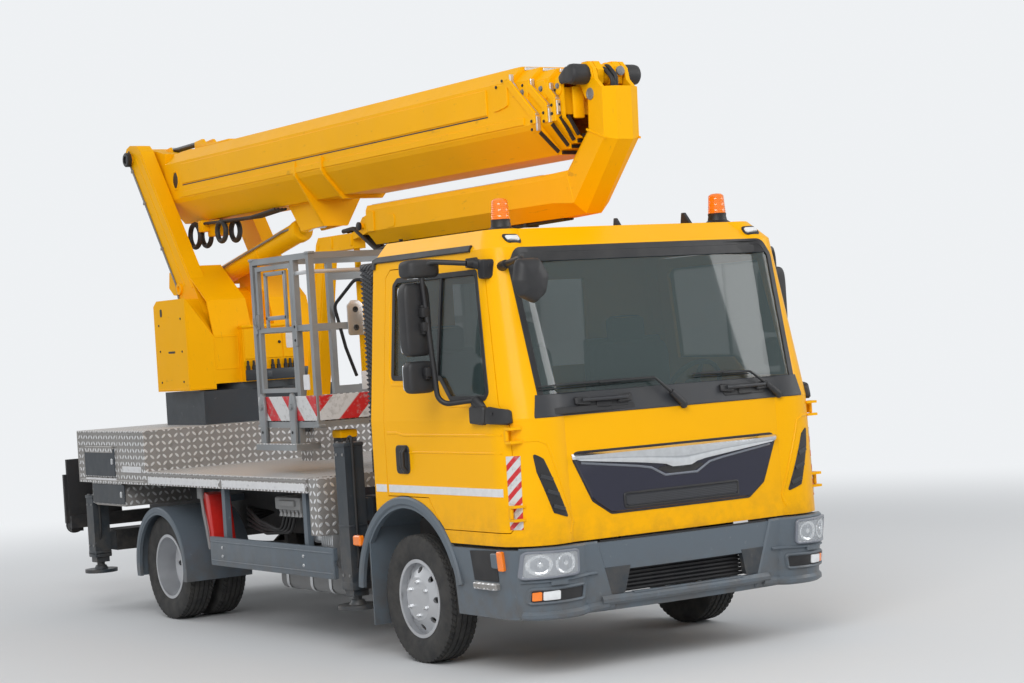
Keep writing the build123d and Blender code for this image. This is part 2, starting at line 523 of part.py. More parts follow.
with BuildPart() as cab_shell:
    cab_body()
    add(cab_inner.part, mode=Mode.SUBTRACT)
    # Engine tunnel and the open space under the floor
    block((-345, 345), (-3190, -1676), (CAB_FLOOR - 10, 1190))
    add(cab_under.part, mode=Mode.SUBTRACT)
    block((-305, 305), (-3175, -1674), (700, 1150), mode=Mode.SUBTRACT)
    # Wheel arches
    for side in (-1, 1):
        rod((side * 700, FRONT_AXLE_Y, TYRE_RADIUS), (side * 1200, FRONT_AXLE_Y, TYRE_RADIUS), ARCH_RADIUS,
            mode=Mode.SUBTRACT)
    add(door_space.part, mode=Mode.SUBTRACT)
    add(door_swing.part, mode=Mode.SUBTRACT)
    # Hinge pins, each between two brackets ahead of the door's edge
    for side in (-1, 1):
        for z in DOOR_HINGE_Z:
            for low, high in ((SLEEVE_HALF + 2, SLEEVE_HALF + 17), (-SLEEVE_HALF - 17, -SLEEVE_HALF - 2)):
                block((side * (DOOR_HINGE_X - 66), side * (DOOR_HINGE_X + SLEEVE_RADIUS)),
                      (DOOR_HINGE_Y - 50, DOOR_HINGE_Y - 23), (z + low, z + high))
                block((side * (DOOR_HINGE_X - SLEEVE_RADIUS + 1), side * (DOOR_HINGE_X + SLEEVE_RADIUS)),
                      (DOOR_HINGE_Y - 50, DOOR_HINGE_Y + SLEEVE_RADIUS), (z + low, z + high))
            rod((side * DOOR_HINGE_X, DOOR_HINGE_Y, z - SLEEVE_HALF - 10),
                (side * DOOR_HINGE_X, DOOR_HINGE_Y, z + SLEEVE_HALF + 10), HINGE_PIN_RADIUS)
    cross_plate(SCREEN_OUTLINE, (-3400, -2900), mode=Mode.SUBTRACT)
    block((-500, 500), (-1720, -1600), (1700, 2250), mode=Mode.SUBTRACT)
save(cab_shell.part, "cab_shell")

# Windscreen and rear window, thin sheets that follow the cab faces
with BuildPart() as cab_glass:
    cab_body(4)
    cab_body(10, mode=Mode.SUBTRACT)
    cross_plate(SCREEN_OUTLINE, (-3400, -2900), mode=Mode.INTERSECT, gap=-FIT)
    block((-500 + FIT, 500 - FIT), (-1690, -1684), (1700 + FIT, 2250 - FIT))
save(cab_glass.part, "cab_glass")

# Doors with window frames, and their glass
for name, side in SIDES:
    with BuildPart() as door:
        cab_body(0)
        add(door_inner.part, mode=Mode.SUBTRACT)
        side_plate(DOOR_OUTLINE, (side * 950, side * 1200), mode=Mode.INTERSECT)
        side_plate(DOOR_WINDOW, (side * 900, side * 1200), mode=Mode.SUBTRACT)
        rod((side * 700, FRONT_AXLE_Y, TYRE_RADIUS), (side * 1200, FRONT_AXLE_Y, TYRE_RADIUS),
            ARCH_RADIUS + DOOR_GAP, mode=Mode.SUBTRACT)
        for z in DOOR_HINGE_Z:
            height = (z - SLEEVE_HALF, z + SLEEVE_HALF)
            rod((side * DOOR_HINGE_X, DOOR_HINGE_Y, height[0]), (side * DOOR_HINGE_X, DOOR_HINGE_Y, height[1]),
                SLEEVE_RADIUS)
            block((side * DOOR_HINGE_X, side * (DOOR_HINGE_X - SLEEVE_RADIUS + 1)),
                  (DOOR_HINGE_Y, DOOR_HINGE_Y + 35), height)
            block((side * DOOR_HINGE_X, side * (DOOR_HINGE_X - 38)), (DOOR_HINGE_Y + 15, DOOR_HINGE_Y + 35), height)
            rod((side * DOOR_HINGE_X, DOOR_HINGE_Y, height[0]), (side * DOOR_HINGE_X, DOOR_HINGE_Y, height[1]),
                HINGE_PIN_RADIUS + FIT, mode=Mode.SUBTRACT)
    save(door.part, f"door_{name}")

    with BuildPart() as door_glass:
        cab_body(12)
        cab_body(17, mode=Mode.SUBTRACT)
        side_plate(DOOR_WINDOW, (side * 900, side * 1200), mode=Mode.INTERSECT, gap=-FIT)
    save(door_glass.part, f"door_glass_{name}")

# Cab inside: dash, steering wheel, seats
with BuildPart() as cab_interior:
    side_plate([(-3140, 1300), (-3140, 1520), (-2960, 1500), (-2880, 1400), (-2900, 1250)], (-900, 900))
    block((-180, 180), (-3140, -2900), (1190, 1310))
    rod((520, -2960, 1400), (520, -2755, 1523), 25)
    with BuildSketch(Plane(origin=(520, -2758, 1521.2), x_dir=(1, 0, 0), z_dir=(0, 200, 120))) as wheel_ring:
        Circle(205)
        Circle(180, mode=Mode.SUBTRACT)
        Rectangle(370, 40)
    extrude(wheel_ring.sketch, amount=22, dir=Vector(0, 200, 120).normalized())
    for x in ((-980, -380), (380, 980)):
        block(x, (-2480, -1980), (1035, 1250))
    for x in ((-980, 80), (320, 980)):
        block(x, (-2500, -1960), (1250, 1370))
        block(x, (-1960, -1850), (1250, 1980))
save(cab_interior.part, "cab_interior")

# Front trim: grille and the panel under the screen, thin skins on the cab face
FRONT_TRIM = (
    [(-585, 893), (-730, 1232), (730, 1232), (585, 893)],
    [(-955, 1447), (-935, 1570), (935, 1570), (955, 1447)],
)
with BuildPart() as front_trim:
    cab_body(-12)
    cab_body(-FIT, mode=Mode.SUBTRACT)
    with BuildSketch(Plane.XZ.offset(2900)) as trim_windows:
        for outline in FRONT_TRIM:
            Polygon(*outline, align=None)
    extrude(trim_windows.sketch, amount=500, dir=(0, -1, 0), mode=Mode.INTERSECT)
save(front_trim.part, "front_trim")

# Bumper: wraps from arch to arch, with lamp and centre openings. Same columns as the cab levels
BUMPER_LOWER = (337, -2530, 1095, -3020, 700, -3225, -3260)
BUMPER_UPPER = (725, -2530, 1122, -3040, 700, -3262, -3290)
HEADLAMP = [(845, 600), (845, 712), (1080, 712), (1080, 600)]


def bumper_band(outer, inner):
    """Front band between two insets, open at its rear."""
    loft([cab_outline(BUMPER_LOWER, outer, rear_inset=0), cab_outline(BUMPER_UPPER, outer, rear_inset=0)],
         ruled=True)
    loft([cab_outline(BUMPER_LOWER, inner, 330, rear_inset=-10), cab_outline(BUMPER_UPPER, inner, 730, rear_inset=-10)],
         ruled=True, mode=Mode.SUBTRACT)


with BuildPart() as bumper:
    bumper_band(0, 55)
    for side in (-1, 1):
        cross_plate([(side * x, z) for x, z in HEADLAMP], (-3400, -2900), mode=Mode.SUBTRACT, gap=3)
        block((side * 360, side * 420), (-3222, FRAME_FRONT), (RAIL_LOW, 720))
    cross_plate([(-560, 420), (-560, 560), (560, 560), (560, 420)], (-3400, -3100), mode=Mode.SUBTRACT)
save(bumper.part, "bumper")

with BuildPart() as headlamps:
    bumper_band(4, 55)
    with BuildSketch(Plane.XZ.offset(2900)) as lamp_windows:
        for side in (-1, 1):
            Polygon(*[(side * x, z) for x, z in HEADLAMP], align=None)
    extrude(lamp_windows.sketch, amount=500, dir=(0, -1, 0), mode=Mode.INTERSECT)
save(headlamps.part, "headlamps")

# Roof: beacons and clearance lamps
with BuildPart() as beacons:
    for side in (-1, 1):
        rod((side * 790, -2753, 2500), (side * 790, -2753, 2560), 75)
        rod((side * 790, -2753, 2560), (side * 790, -2753, 2700), 68)
    cab_body(-FIT, mode=Mode.SUBTRACT)
save(beacons.part, "beacons")

# Mirrors on the doors: tube arm, main glass, wide glass, kerb glass
for name, side in SIDES:
    with BuildPart() as mirror:
        with BuildLine() as arm:
            FilletPolyline((side * 1118, -2890, 1560), (side * 1260, -2720, 1540), (side * 1290, -2660, 2370),
                           (side * 1075, -2840, 2330), radius=70)
        with BuildSketch(Plane(origin=arm.line @ 0, z_dir=arm.line % 0)) as tube:
            Circle(16)
        sweep(tube.sketch, path=arm.line)
        block((side * 1220, side * 1400), (-2630, -2560), (1823, 2241))
        block((side * 1220, side * 1400), (-2640, -2570), (1617, 1797))
        block((side * 1262, side * 1308), (-2700, -2600), (1700, 2100))
    save(mirror.part, f"mirror_{name}")

# Front mirror on the cab's right corner
with BuildPart() as front_mirror:
    with BuildLine() as front_arm:
        FilletPolyline((-930, -2900, 2330), (-1040, -3300, 2380), (-1050, -3400, 2300), radius=60)
    with BuildSketch(Plane(origin=front_arm.line @ 0, z_dir=front_arm.line % 0)) as front_tube:
        Circle(14)
    sweep(front_tube.sketch, path=front_arm.line)
    block((-1150, -950), (-3440, -3390), (2080, 2320))
    cab_body(-FIT, mode=Mode.SUBTRACT)
save(front_mirror.part, "front_mirror")

# Air intake duct behind the cab
with BuildPart() as air_intake:
    block((-1040, -940), (-1675 + FIT, -1520), (1120, 2400))
save(air_intake.part, "air_intake")

# Pedestal and slew ring
with BuildPart() as pedestal:
    block((-PEDESTAL_HALF, PEDESTAL_HALF), PEDESTAL_Y, (SUBFRAME_TOP, RING_LOW))
    block((-PEDESTAL_HALF + 12, PEDESTAL_HALF - 12), (PEDESTAL_Y[0] + 12, PEDESTAL_Y[1] - 12),
          (SUBFRAME_TOP - 1, RING_LOW - 20), mode=Mode.SUBTRACT)
    rod((0, SLEW_Y, RING_LOW - 5), (0, SLEW_Y, RING_HIGH), 380, bore=300)
save(pedestal.part, "pedestal")

# Turntable: base plate, tower arms with the boom pin and the lift pin, bent sheet hood between them, valve box
ARM_OUTER_X = ARM_INNER_X + ARM_THICK
HOOD_FRONT = 1900
HOOD_SLOT = 100
HOOD_SHEET = 10
ARM_OUTLINE = [
    (2050, BASE_PLATE_TOP), (2480, BASE_PLATE_TOP), (2480, 2400), (3345, 3585), (3310, 3625), (3240, 3645),
    (3110, 3630), (3045, 3580), (2190, 2440), (2050, 2240),
]
LIFT_LUG = [(2480, 2380), (2540, 2640), (2760, 2580), (2780, 2460), (2700, 2400)]
# Hood beside the lift cylinder and below it, seen from the side
HIGH_HOOD = [(HOOD_FRONT, BASE_PLATE_TOP), (HOOD_FRONT, 2060), (1990, 2330), (2384, 2615), (2480, 2615)]
LOW_HOOD = [(HOOD_FRONT, BASE_PLATE_TOP), (HOOD_FRONT, 2060), (2120, 2200), (2330, 2400), (2400, 2430)]


def bent_sheet(outline, x):
    """Sheet that follows an open (y, z) outline between two x values."""
    with BuildSketch(Plane.YZ.offset(min(x))) as sheet:
        Polygon(*outline, (outline[-1][0], BASE_PLATE_TOP), align=None)
        offset(amount=-HOOD_SHEET, kind=Kind.INTERSECTION, mode=Mode.SUBTRACT)
        with BuildLine():
            Polyline((HOOD_FRONT + HOOD_SHEET, BASE_PLATE_TOP), (2700, BASE_PLATE_TOP), (2700, outline[-1][1] - HOOD_SHEET),
                     (outline[-1][0] - HOOD_SHEET, outline[-1][1] - HOOD_SHEET),
                     (outline[-1][0] - HOOD_SHEET, BASE_PLATE_TOP + HOOD_SHEET),
                     (HOOD_FRONT + HOOD_SHEET, BASE_PLATE_TOP + HOOD_SHEET), close=True)
        make_face(mode=Mode.SUBTRACT)
    extrude(sheet.sketch, amount=abs(x[1] - x[0]), dir=(1, 0, 0))


with BuildPart() as turntable:
    block((-ARM_OUTER_X, ARM_OUTER_X), (HOOD_FRONT, 2730), (RING_HIGH + FIT, BASE_PLATE_TOP))
    block((-215, ARM_OUTER_X), (1830, HOOD_FRONT), (RING_HIGH + FIT, BASE_PLATE_TOP))
    block((-215, 280), (1845, HOOD_FRONT + 5), (BASE_PLATE_TOP, 2110))
    block((-ARM_OUTER_X, -215), (HOOD_FRONT, HOOD_FRONT + 40), (RING_HIGH + FIT, 2060))
    bent_sheet(LOW_HOOD, (-ARM_INNER_X, ARM_INNER_X))
    for side in (-1, 1):
        side_plate(ARM_OUTLINE, (side * ARM_INNER_X, side * ARM_OUTER_X))
        bent_sheet(HIGH_HOOD, (side * HOOD_SLOT, side * ARM_OUTER_X))
        side_plate([*HIGH_HOOD, (2480, BASE_PLATE_TOP)], (side * HOOD_SLOT, side * (HOOD_SLOT + 8)))
        side_plate(LIFT_LUG, (side * ARM_INNER_X, side * (ARM_INNER_X + 60)))
    rod((-ARM_OUTER_X - 40, PIVOT_Y, PIVOT_Z), (ARM_OUTER_X + 40, PIVOT_Y, PIVOT_Z), PIVOT_PIN_RADIUS)
    rod((-ARM_INNER_X - 20, *LIFT_BASE), (ARM_INNER_X + 20, *LIFT_BASE), 30)
save(turntable.part, "turntable")

# Cover over the drive on the right: flat top, with a facet that falls to its inner front corner
COVER_X = (-650, -ARM_OUTER_X - FIT)
COVER_Y = (HOOD_FRONT, 2130, 2485)
COVER_HIGH = 2350
COVER_CORNER = 2050
with BuildPart() as side_cover:
    with BuildSketch(Plane.XZ.offset(-COVER_Y[0])) as cover_front:
        Polygon((COVER_X[0], COVER_LOW), (COVER_X[0], COVER_HIGH), (COVER_X[1], COVER_CORNER), (COVER_X[1], COVER_LOW),
                align=None)
    with BuildSketch(Plane.XZ.offset(-COVER_Y[1])) as cover_middle:
        Polygon((COVER_X[0], COVER_LOW), (COVER_X[0], COVER_HIGH), (COVER_X[1], COVER_HIGH), (COVER_X[1], COVER_LOW),
                align=None)
    loft([cover_front.sketch, cover_middle.sketch], ruled=True)
    side_plate([(COVER_Y[1], COVER_LOW), (COVER_Y[1], COVER_HIGH), (COVER_Y[2] - 60, COVER_HIGH),
                (COVER_Y[2], COVER_HIGH - 40), (COVER_Y[2], COVER_LOW)], COVER_X)
save(side_cover.part, "side_cover")

# Boom sections: each nests in the one before with wear pads at the mouth
BOOM_OUTLINE = [
    (-205, 3540), (205, 3540), (300, 3450), (300, 3160), (285, 3130), (150, 2975),
    (-150, 2975), (-285, 3130), (-300, 3160), (-300, 3450),
]


def boom_tube(inset, rear, front):
    """Hollow boom section whose outline is the base outline moved in by inset."""
    with BuildSketch(Plane.XZ.offset(-rear)) as tube_section:
        Polygon(*BOOM_OUTLINE, align=None)
        if inset:
            offset(amount=-inset, kind=Kind.INTERSECTION, mode=Mode.REPLACE)
        offset(amount=-BOOM_WALL, kind=Kind.INTERSECTION, mode=Mode.SUBTRACT)
    extrude(tube_section.sketch, amount=rear - front, dir=(0, -1, 0))


def boom_collar(inset, rear, front):
    """Thick ring inside a section that guides the next one."""
    with BuildSketch(Plane.XZ.offset(-rear)) as ring:
        Polygon(*BOOM_OUTLINE, align=None)
        if inset:
            offset(amount=-inset, kind=Kind.INTERSECTION, mode=Mode.REPLACE)
        offset(amount=-(BOOM_STEP - FIT), kind=Kind.INTERSECTION, mode=Mode.SUBTRACT)
    extrude(ring.sketch, amount=rear - front, dir=(0, -1, 0))


# Slanted mouths. Columns: y of the upper part, height where the slant starts, y of the lower part, height where
# the slant ends
MOUTHS = (
    (ELBOW_Y + 550, 3440, ELBOW_Y + 290, 3210),
    (ELBOW_Y + 370, 3390, ELBOW_Y + 200, 3250),
    (ELBOW_Y + 210, 3345, ELBOW_Y + 150, 3290),
    (ELBOW_Y + 110, 3330, ELBOW_Y + 110, 3290),
)
COLLAR_LENGTH = 60
# Half outlines of the two ribs under section 1, from the side down to the middle. The front one carries the lift eye
LIFT_RIB = [(306, 3255), (312, 3150), (96, 2785)]
SMALL_RIB = [(318, 3250), (318, 3150), (300, 3112), (160, 2948)]
RIB_INNER = [(149, 2976), (284, 3130), (299, 3160), (299, 3240)]
LUG_X = (45, 92)
EAR_X = (100, 128)
PIN_CAP_X = 238
SECTION_REARS = (BOOM_REAR, BOOM_REAR - 300, BOOM_REAR - 400, BOOM_REAR - 500)
for number in (1, 2, 3, 4):
    inset = (number - 1) * BOOM_STEP
    rear = SECTION_REARS[number - 1]
    upper_y, slant_high, lower_y, slant_low = MOUTHS[number - 1]
    with BuildPart() as collar:
        boom_collar(inset, upper_y + COLLAR_LENGTH, lower_y)
        side_plate([(upper_y, 3600), (upper_y, slant_high), (lower_y, slant_low), (lower_y, 2900),
                    (lower_y + COLLAR_LENGTH, 2900), (lower_y + COLLAR_LENGTH, slant_low + 30),
                    (upper_y + COLLAR_LENGTH, slant_high + 30), (upper_y + COLLAR_LENGTH, 3600)],
                   (-400, 400), mode=Mode.INTERSECT)

    with BuildPart() as section:
        boom_tube(inset, rear, lower_y)
        side_plate([(upper_y, 3600), (upper_y, slant_high), (lower_y, slant_low), (lower_y - 20, slant_low),
                    (lower_y - 20, 3600)], (-400, 400), mode=Mode.SUBTRACT)
        if number < 4:
            add(collar.part)
        if number == 1:
            rod((-ARM_INNER_X + 5, PIVOT_Y, PIVOT_Z), (ARM_INNER_X - 5, PIVOT_Y, PIVOT_Z), 85)
            side_plate([(BOOM_REAR, 3200), (BOOM_REAR, 3540), (PIVOT_Y, 3615), (PIVOT_Y + 30, 3450)], (-290, 290))
            rod((-ARM_INNER_X, PIVOT_Y, PIVOT_Z), (ARM_INNER_X, PIVOT_Y, PIVOT_Z), PIVOT_PIN_RADIUS + FIT,
                mode=Mode.SUBTRACT)
            for rib, y in ((LIFT_RIB, 640), (SMALL_RIB, 225)):
                half = rib + [(-x, z) for x, z in reversed(rib)]
                inner = [(-x, z) for x, z in reversed(RIB_INNER)] + RIB_INNER
                cross_plate(half + inner, (y, y + 25))
            for side in (-1, 1):
                side_plate([(660, 2990), (1200, 2990), (1010, 2775), (660, 2790)], (side * 72, side * 92))
        if number == 4:
            # Cross wall in the mouth and the two lugs of the elbow pin
            block((-209, 209), (lower_y + 20, lower_y + 50), (3200, 3360))
            for side in (-1, 1):
                side_plate([(lower_y + 40, 3250), (lower_y + 40, 3452), (ELBOW_Y + 30, 3495), (ELBOW_Y - 30, 3495),
                            (ELBOW_Y - 75, 3440), (ELBOW_Y - 60, 3360), (ELBOW_Y + 90, 3330)],
                           (side * LUG_X[0], side * LUG_X[1]))
            rod((-LUG_X[1], ELBOW_Y, ELBOW_Z), (LUG_X[1], ELBOW_Y, ELBOW_Z), 62)
            rod((-LUG_X[1] - 1, ELBOW_Y, ELBOW_Z), (LUG_X[1] + 1, ELBOW_Y, ELBOW_Z), 35 + FIT, mode=Mode.SUBTRACT)
    save(section.part, f"boom_section_{number}")

# Elbow casting and jib beam: the beam's section turns forward and up to two ears on the pin
JIB_OUTLINE = [(-110, 2875), (110, 2875), (125, 2840), (128, 2695), (55, 2605), (-55, 2605), (-128, 2695),
               (-125, 2840)]
JIB_REAR = -20
JIB_FRONT = ELBOW_Y + 430
# Sections of the elbow from the ears down. Columns: rear edge, front edge, share of the way where the sides end
ELBOW_SECTIONS = (
    ((ELBOW_Y + 15, 3330), (ELBOW_Y - 195, 3330), 0.82),
    ((ELBOW_Y + 28, 3100), (ELBOW_Y - 185, 3018), 0.82),
    ((ELBOW_Y + 265, 2880), (ELBOW_Y + 180, 2612), 0.76),
    ((JIB_FRONT, 2875), (JIB_FRONT, 2605), 2 / 3),
)
EAR_OUTLINE = [
    (ELBOW_Y + 15, 3280), (ELBOW_Y + 75, 3395), (ELBOW_Y + 72, 3455), (ELBOW_Y + 30, 3494), (ELBOW_Y - 30, 3494),
    (ELBOW_Y - 74, 3450), (ELBOW_Y - 92, 3380), (ELBOW_Y - 150, 3325), (ELBOW_Y - 150, 3280),
]


def elbow_section(rear, front, share, wall=0):
    """Face across the elbow, its walls moved in by wall; seen from the side it is the line from rear to front."""
    run = Vector(0, *front) - Vector(0, *rear)
    half = [(110, 0), (125, 0.13 * run.length), (128, share * run.length), (55, run.length)]
    if wall:
        half = [(110 - wall, wall), (125 - wall, 0.13 * run.length), (128 - wall, share * run.length),
                (55 - wall / 2, run.length - wall)]
    with BuildSketch(Plane(origin=(0, *rear), x_dir=(1, 0, 0), z_dir=(0, -run.Z, run.Y))) as face:
        Polygon(*half, *[(-x, along) for x, along in reversed(half)], align=None)
    return face.sketch


with BuildPart() as jib:
    outer = [elbow_section(*row) for row in ELBOW_SECTIONS]
    for first, second in zip(outer, outer[1:]):
        loft([first, second], ruled=True)
    with BuildSketch(Plane.XZ.offset(-JIB_FRONT)) as jib_section:
        Polygon(*JIB_OUTLINE, align=None)
    extrude(jib_section.sketch, amount=JIB_REAR - JIB_FRONT, dir=(0, 1, 0))
    inner = [elbow_section(*row, wall=14) for row in ELBOW_SECTIONS]
    for first, second in zip(inner, inner[1:]):
        loft([first, second], ruled=True, mode=Mode.SUBTRACT)
    with BuildSketch(Plane.XZ.offset(-JIB_FRONT)) as jib_bore:
        Polygon(*JIB_OUTLINE, align=None)
        offset(amount=-6, kind=Kind.INTERSECTION, mode=Mode.REPLACE)
    extrude(jib_bore.sketch, amount=JIB_REAR - 20 - JIB_FRONT, dir=(0, 1, 0), mode=Mode.SUBTRACT)
    for side in (-1, 1):
        side_plate(EAR_OUTLINE, (side * EAR_X[0], side * EAR_X[1]))
        rod((side * EAR_X[1], ELBOW_Y, ELBOW_Z), (side * PIN_CAP_X, ELBOW_Y, ELBOW_Z), 56)
        side_plate([(JIB_REAR, 2700), (JIB_REAR, 2820), (LEVEL_Y, 2800), (LEVEL_Y + 60, 2740), (LEVEL_Y, 2680)],
                   (side * 60, side * 100))
    rod((-EAR_X[1], ELBOW_Y, ELBOW_Z), (EAR_X[1], ELBOW_Y, ELBOW_Z), 35)
    rod((-110, LEVEL_Y, LEVEL_Z), (110, LEVEL_Y, LEVEL_Z), 20 + FIT, mode=Mode.SUBTRACT)
save(jib.part, "jib")

# Basket carrier: top arm on the level pin, leaning column, foot arm, turning post
with BuildPart() as basket_carrier:
    side_plate([(320, 2600), (320, 2710), (840, 2710), (880, 2660), (1220, 1400), (320, 1400), (320, 1490),
                (1010, 1490), (740, 2600)], (-50, 50))
    side_plate([(LEVEL_Y - 20, 2700), (LEVEL_Y - 20, 2780), (330, 2710), (330, 2660)], (-50, 50))
    rod((-50, LEVEL_Y, LEVEL_Z), (50, LEVEL_Y, LEVEL_Z), 55)
    rod((-125, LEVEL_Y, LEVEL_Z), (125, LEVEL_Y, LEVEL_Z), 20)
    rod((0, TURN_Y, 1480), (0, TURN_Y, 2610), 22)
save(basket_carrier.part, "basket_carrier")

# Lift cylinder
lift_along = Vector(0, LIFT_EYE[0] - LIFT_BASE[0], LIFT_EYE[1] - LIFT_BASE[1])
lift_unit = lift_along.normalized()
BARREL_LENGTH = 1560
EYE_RADIUS = 52


def lift_point(distance):
    """Point on the cylinder's line at a distance from its base pin."""
    return (0, LIFT_BASE[0] + lift_unit.Y * distance, LIFT_BASE[1] + lift_unit.Z * distance)


with BuildPart() as lift_barrel:
    rod(lift_point(40), lift_point(BARREL_LENGTH), 78, bore=58)
    rod(lift_point(40), lift_point(100), 78)
    rod((-60, *LIFT_BASE), (60, *LIFT_BASE), 60)
    rod((-61, *LIFT_BASE), (61, *LIFT_BASE), 30 + FIT, mode=Mode.SUBTRACT)
save(lift_barrel.part, "lift_barrel")

with BuildPart() as lift_rod:
    rod(lift_point(110), lift_point(lift_along.length - EYE_RADIUS + 6), 40)
    rod(lift_point(110), lift_point(160), 58 - FIT)
    rod((-65, *LIFT_EYE), (65, *LIFT_EYE), EYE_RADIUS)
    rod((-66, *LIFT_EYE), (66, *LIFT_EYE), 27, mode=Mode.SUBTRACT)
save(lift_rod.part, "lift_rod")

# Basket frame: square tube, hub eyes at the rear for the turning post
RAIL_HEIGHTS = (BASKET_LOW + TUBE / 2, 2050, BASKET_HIGH - TUBE / 2)
EDGE_X = BASKET_HALF - TUBE / 2
EDGE_FRONT = BASKET_FRONT + TUBE / 2
EDGE_REAR = BASKET_REAR - TUBE / 2
GATE_Y = (-330, 210)
GATE_HINGE_Y = GATE_Y[0] + 27
POSTS = [(x, y) for x in (-EDGE_X, -300, 300, EDGE_X) for y in (EDGE_FRONT, EDGE_REAR)]
POSTS.append((-EDGE_X, GATE_Y[0] - TUBE / 2))


def tube_post(x, y, low, high):
    """Upright square tube centred on x, y."""
    block((x - TUBE / 2, x + TUBE / 2), (y - TUBE / 2, y + TUBE / 2), (low, high))


with BuildPart() as basket_frame:
    for z in RAIL_HEIGHTS:
        span = (z - TUBE / 2, z + TUBE / 2)
        for y in (EDGE_FRONT, EDGE_REAR):
            block((-BASKET_HALF, BASKET_HALF), (y - TUBE / 2, y + TUBE / 2), span)
        for x in (-EDGE_X, EDGE_X):
            block((x - TUBE / 2, x + TUBE / 2), (BASKET_FRONT, BASKET_REAR), span)
    for x, y in POSTS:
        tube_post(x, y, BASKET_LOW, BASKET_HIGH)
    # The gate opening has no middle rail; the top rail runs over it
    block((-BASKET_HALF - 1, -EDGE_X + TUBE / 2 + 1), GATE_Y, (2020, 2080), mode=Mode.SUBTRACT)
    for low, high in ((1560, 1640), (2380, 2460)):
        rod((0, TURN_Y, low), (0, TURN_Y, high), 45)
        block((-40, 40), (BASKET_REAR - 10, TURN_Y), (low, high))
        block((-300, 300), (BASKET_REAR - TUBE, BASKET_REAR), (low, high))
    rod((0, TURN_Y, 1500), (0, TURN_Y, 2500), 22 + FIT, mode=Mode.SUBTRACT)
    # Hanging step below the gate
    block((-940, -760), (-340, 260), (1240, 1280))
    for y in (-300, 220):
        block((-900, -860), (y - 20, y + 20), (1280, BASKET_LOW))
save(basket_frame.part, "basket_frame")

with BuildPart() as basket_floor:
    block((-BASKET_HALF + TUBE, BASKET_HALF - TUBE), (BASKET_FRONT + TUBE, BASKET_REAR - TUBE),
          (BASKET_LOW + TUBE, 1585))
    block((-BASKET_HALF + TUBE + 3, BASKET_HALF - TUBE - 3), (BASKET_FRONT + TUBE + 3, BASKET_REAR - TUBE - 3),
          (BASKET_LOW + TUBE + 4, 1600), mode=Mode.SUBTRACT)
save(basket_floor.part, "basket_floor")

with BuildPart() as basket_gate:
    for z in (1640, 2050, 2470):
        block((-EDGE_X - 15, -EDGE_X + 15), (GATE_HINGE_Y - 15, GATE_Y[1] - 5), (z - 15, z + 15))
    for y in (GATE_HINGE_Y, GATE_Y[1] - 20):
        block((-EDGE_X - 15, -EDGE_X + 15), (y - 15, y + 15), (1640, 2470))
    rod((-EDGE_X, GATE_HINGE_Y, BASKET_LOW + TUBE + FIT), (-EDGE_X, GATE_HINGE_Y, BASKET_HIGH - TUBE - FIT), 10)
save(basket_gate.part, "basket_gate")

with BuildPart() as control_console:
    block((-200, 200), (BASKET_FRONT + TUBE + FIT, BASKET_FRONT + 190), (2280, 2520))
save(control_console.part, "control_console")
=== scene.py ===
"""Looks of a cherry picker truck over its CAD frame. Metres; the front faces -Y and the right is -X."""

import math

import bmesh
import bpy
import numpy as np
from mathutils import Matrix, Vector


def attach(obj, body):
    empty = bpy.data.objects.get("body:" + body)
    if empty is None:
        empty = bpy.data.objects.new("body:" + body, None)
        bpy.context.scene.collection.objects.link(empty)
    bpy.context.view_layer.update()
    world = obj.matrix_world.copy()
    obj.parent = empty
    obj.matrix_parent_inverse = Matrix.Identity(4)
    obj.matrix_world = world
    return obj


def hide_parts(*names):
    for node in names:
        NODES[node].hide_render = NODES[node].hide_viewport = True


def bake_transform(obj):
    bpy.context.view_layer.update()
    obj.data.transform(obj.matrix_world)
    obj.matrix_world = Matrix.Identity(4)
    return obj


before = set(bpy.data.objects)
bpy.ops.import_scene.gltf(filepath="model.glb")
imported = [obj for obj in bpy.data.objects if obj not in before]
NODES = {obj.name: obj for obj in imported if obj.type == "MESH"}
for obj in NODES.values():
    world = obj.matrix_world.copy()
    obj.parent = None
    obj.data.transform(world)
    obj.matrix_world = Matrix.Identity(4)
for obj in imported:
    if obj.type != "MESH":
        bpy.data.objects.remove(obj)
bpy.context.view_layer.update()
SIDES = (("right", -1), ("left", 1))
HANDS = (-1, 1)

# Driving dimensions, as in the CAD source
FRONT_AXLE_Y = -2.02
REAR_AXLE_Y = 1.58
TYRE_RADIUS = 0.3835
TYRE_WIDTH = 0.205
RIM_RADIUS = 0.2222
FLANGE_RADIUS = 0.235
FRONT_TYRE_X = 0.974
REAR_OUTER_X = 0.968
TWIN_SPACING = 0.26
# Edges flatter than these angles in degrees are shaded smooth
TREAD_SMOOTH = 35
DASH_SMOOTH = 40
SHELL_SMOOTH = 60


# Shader maths


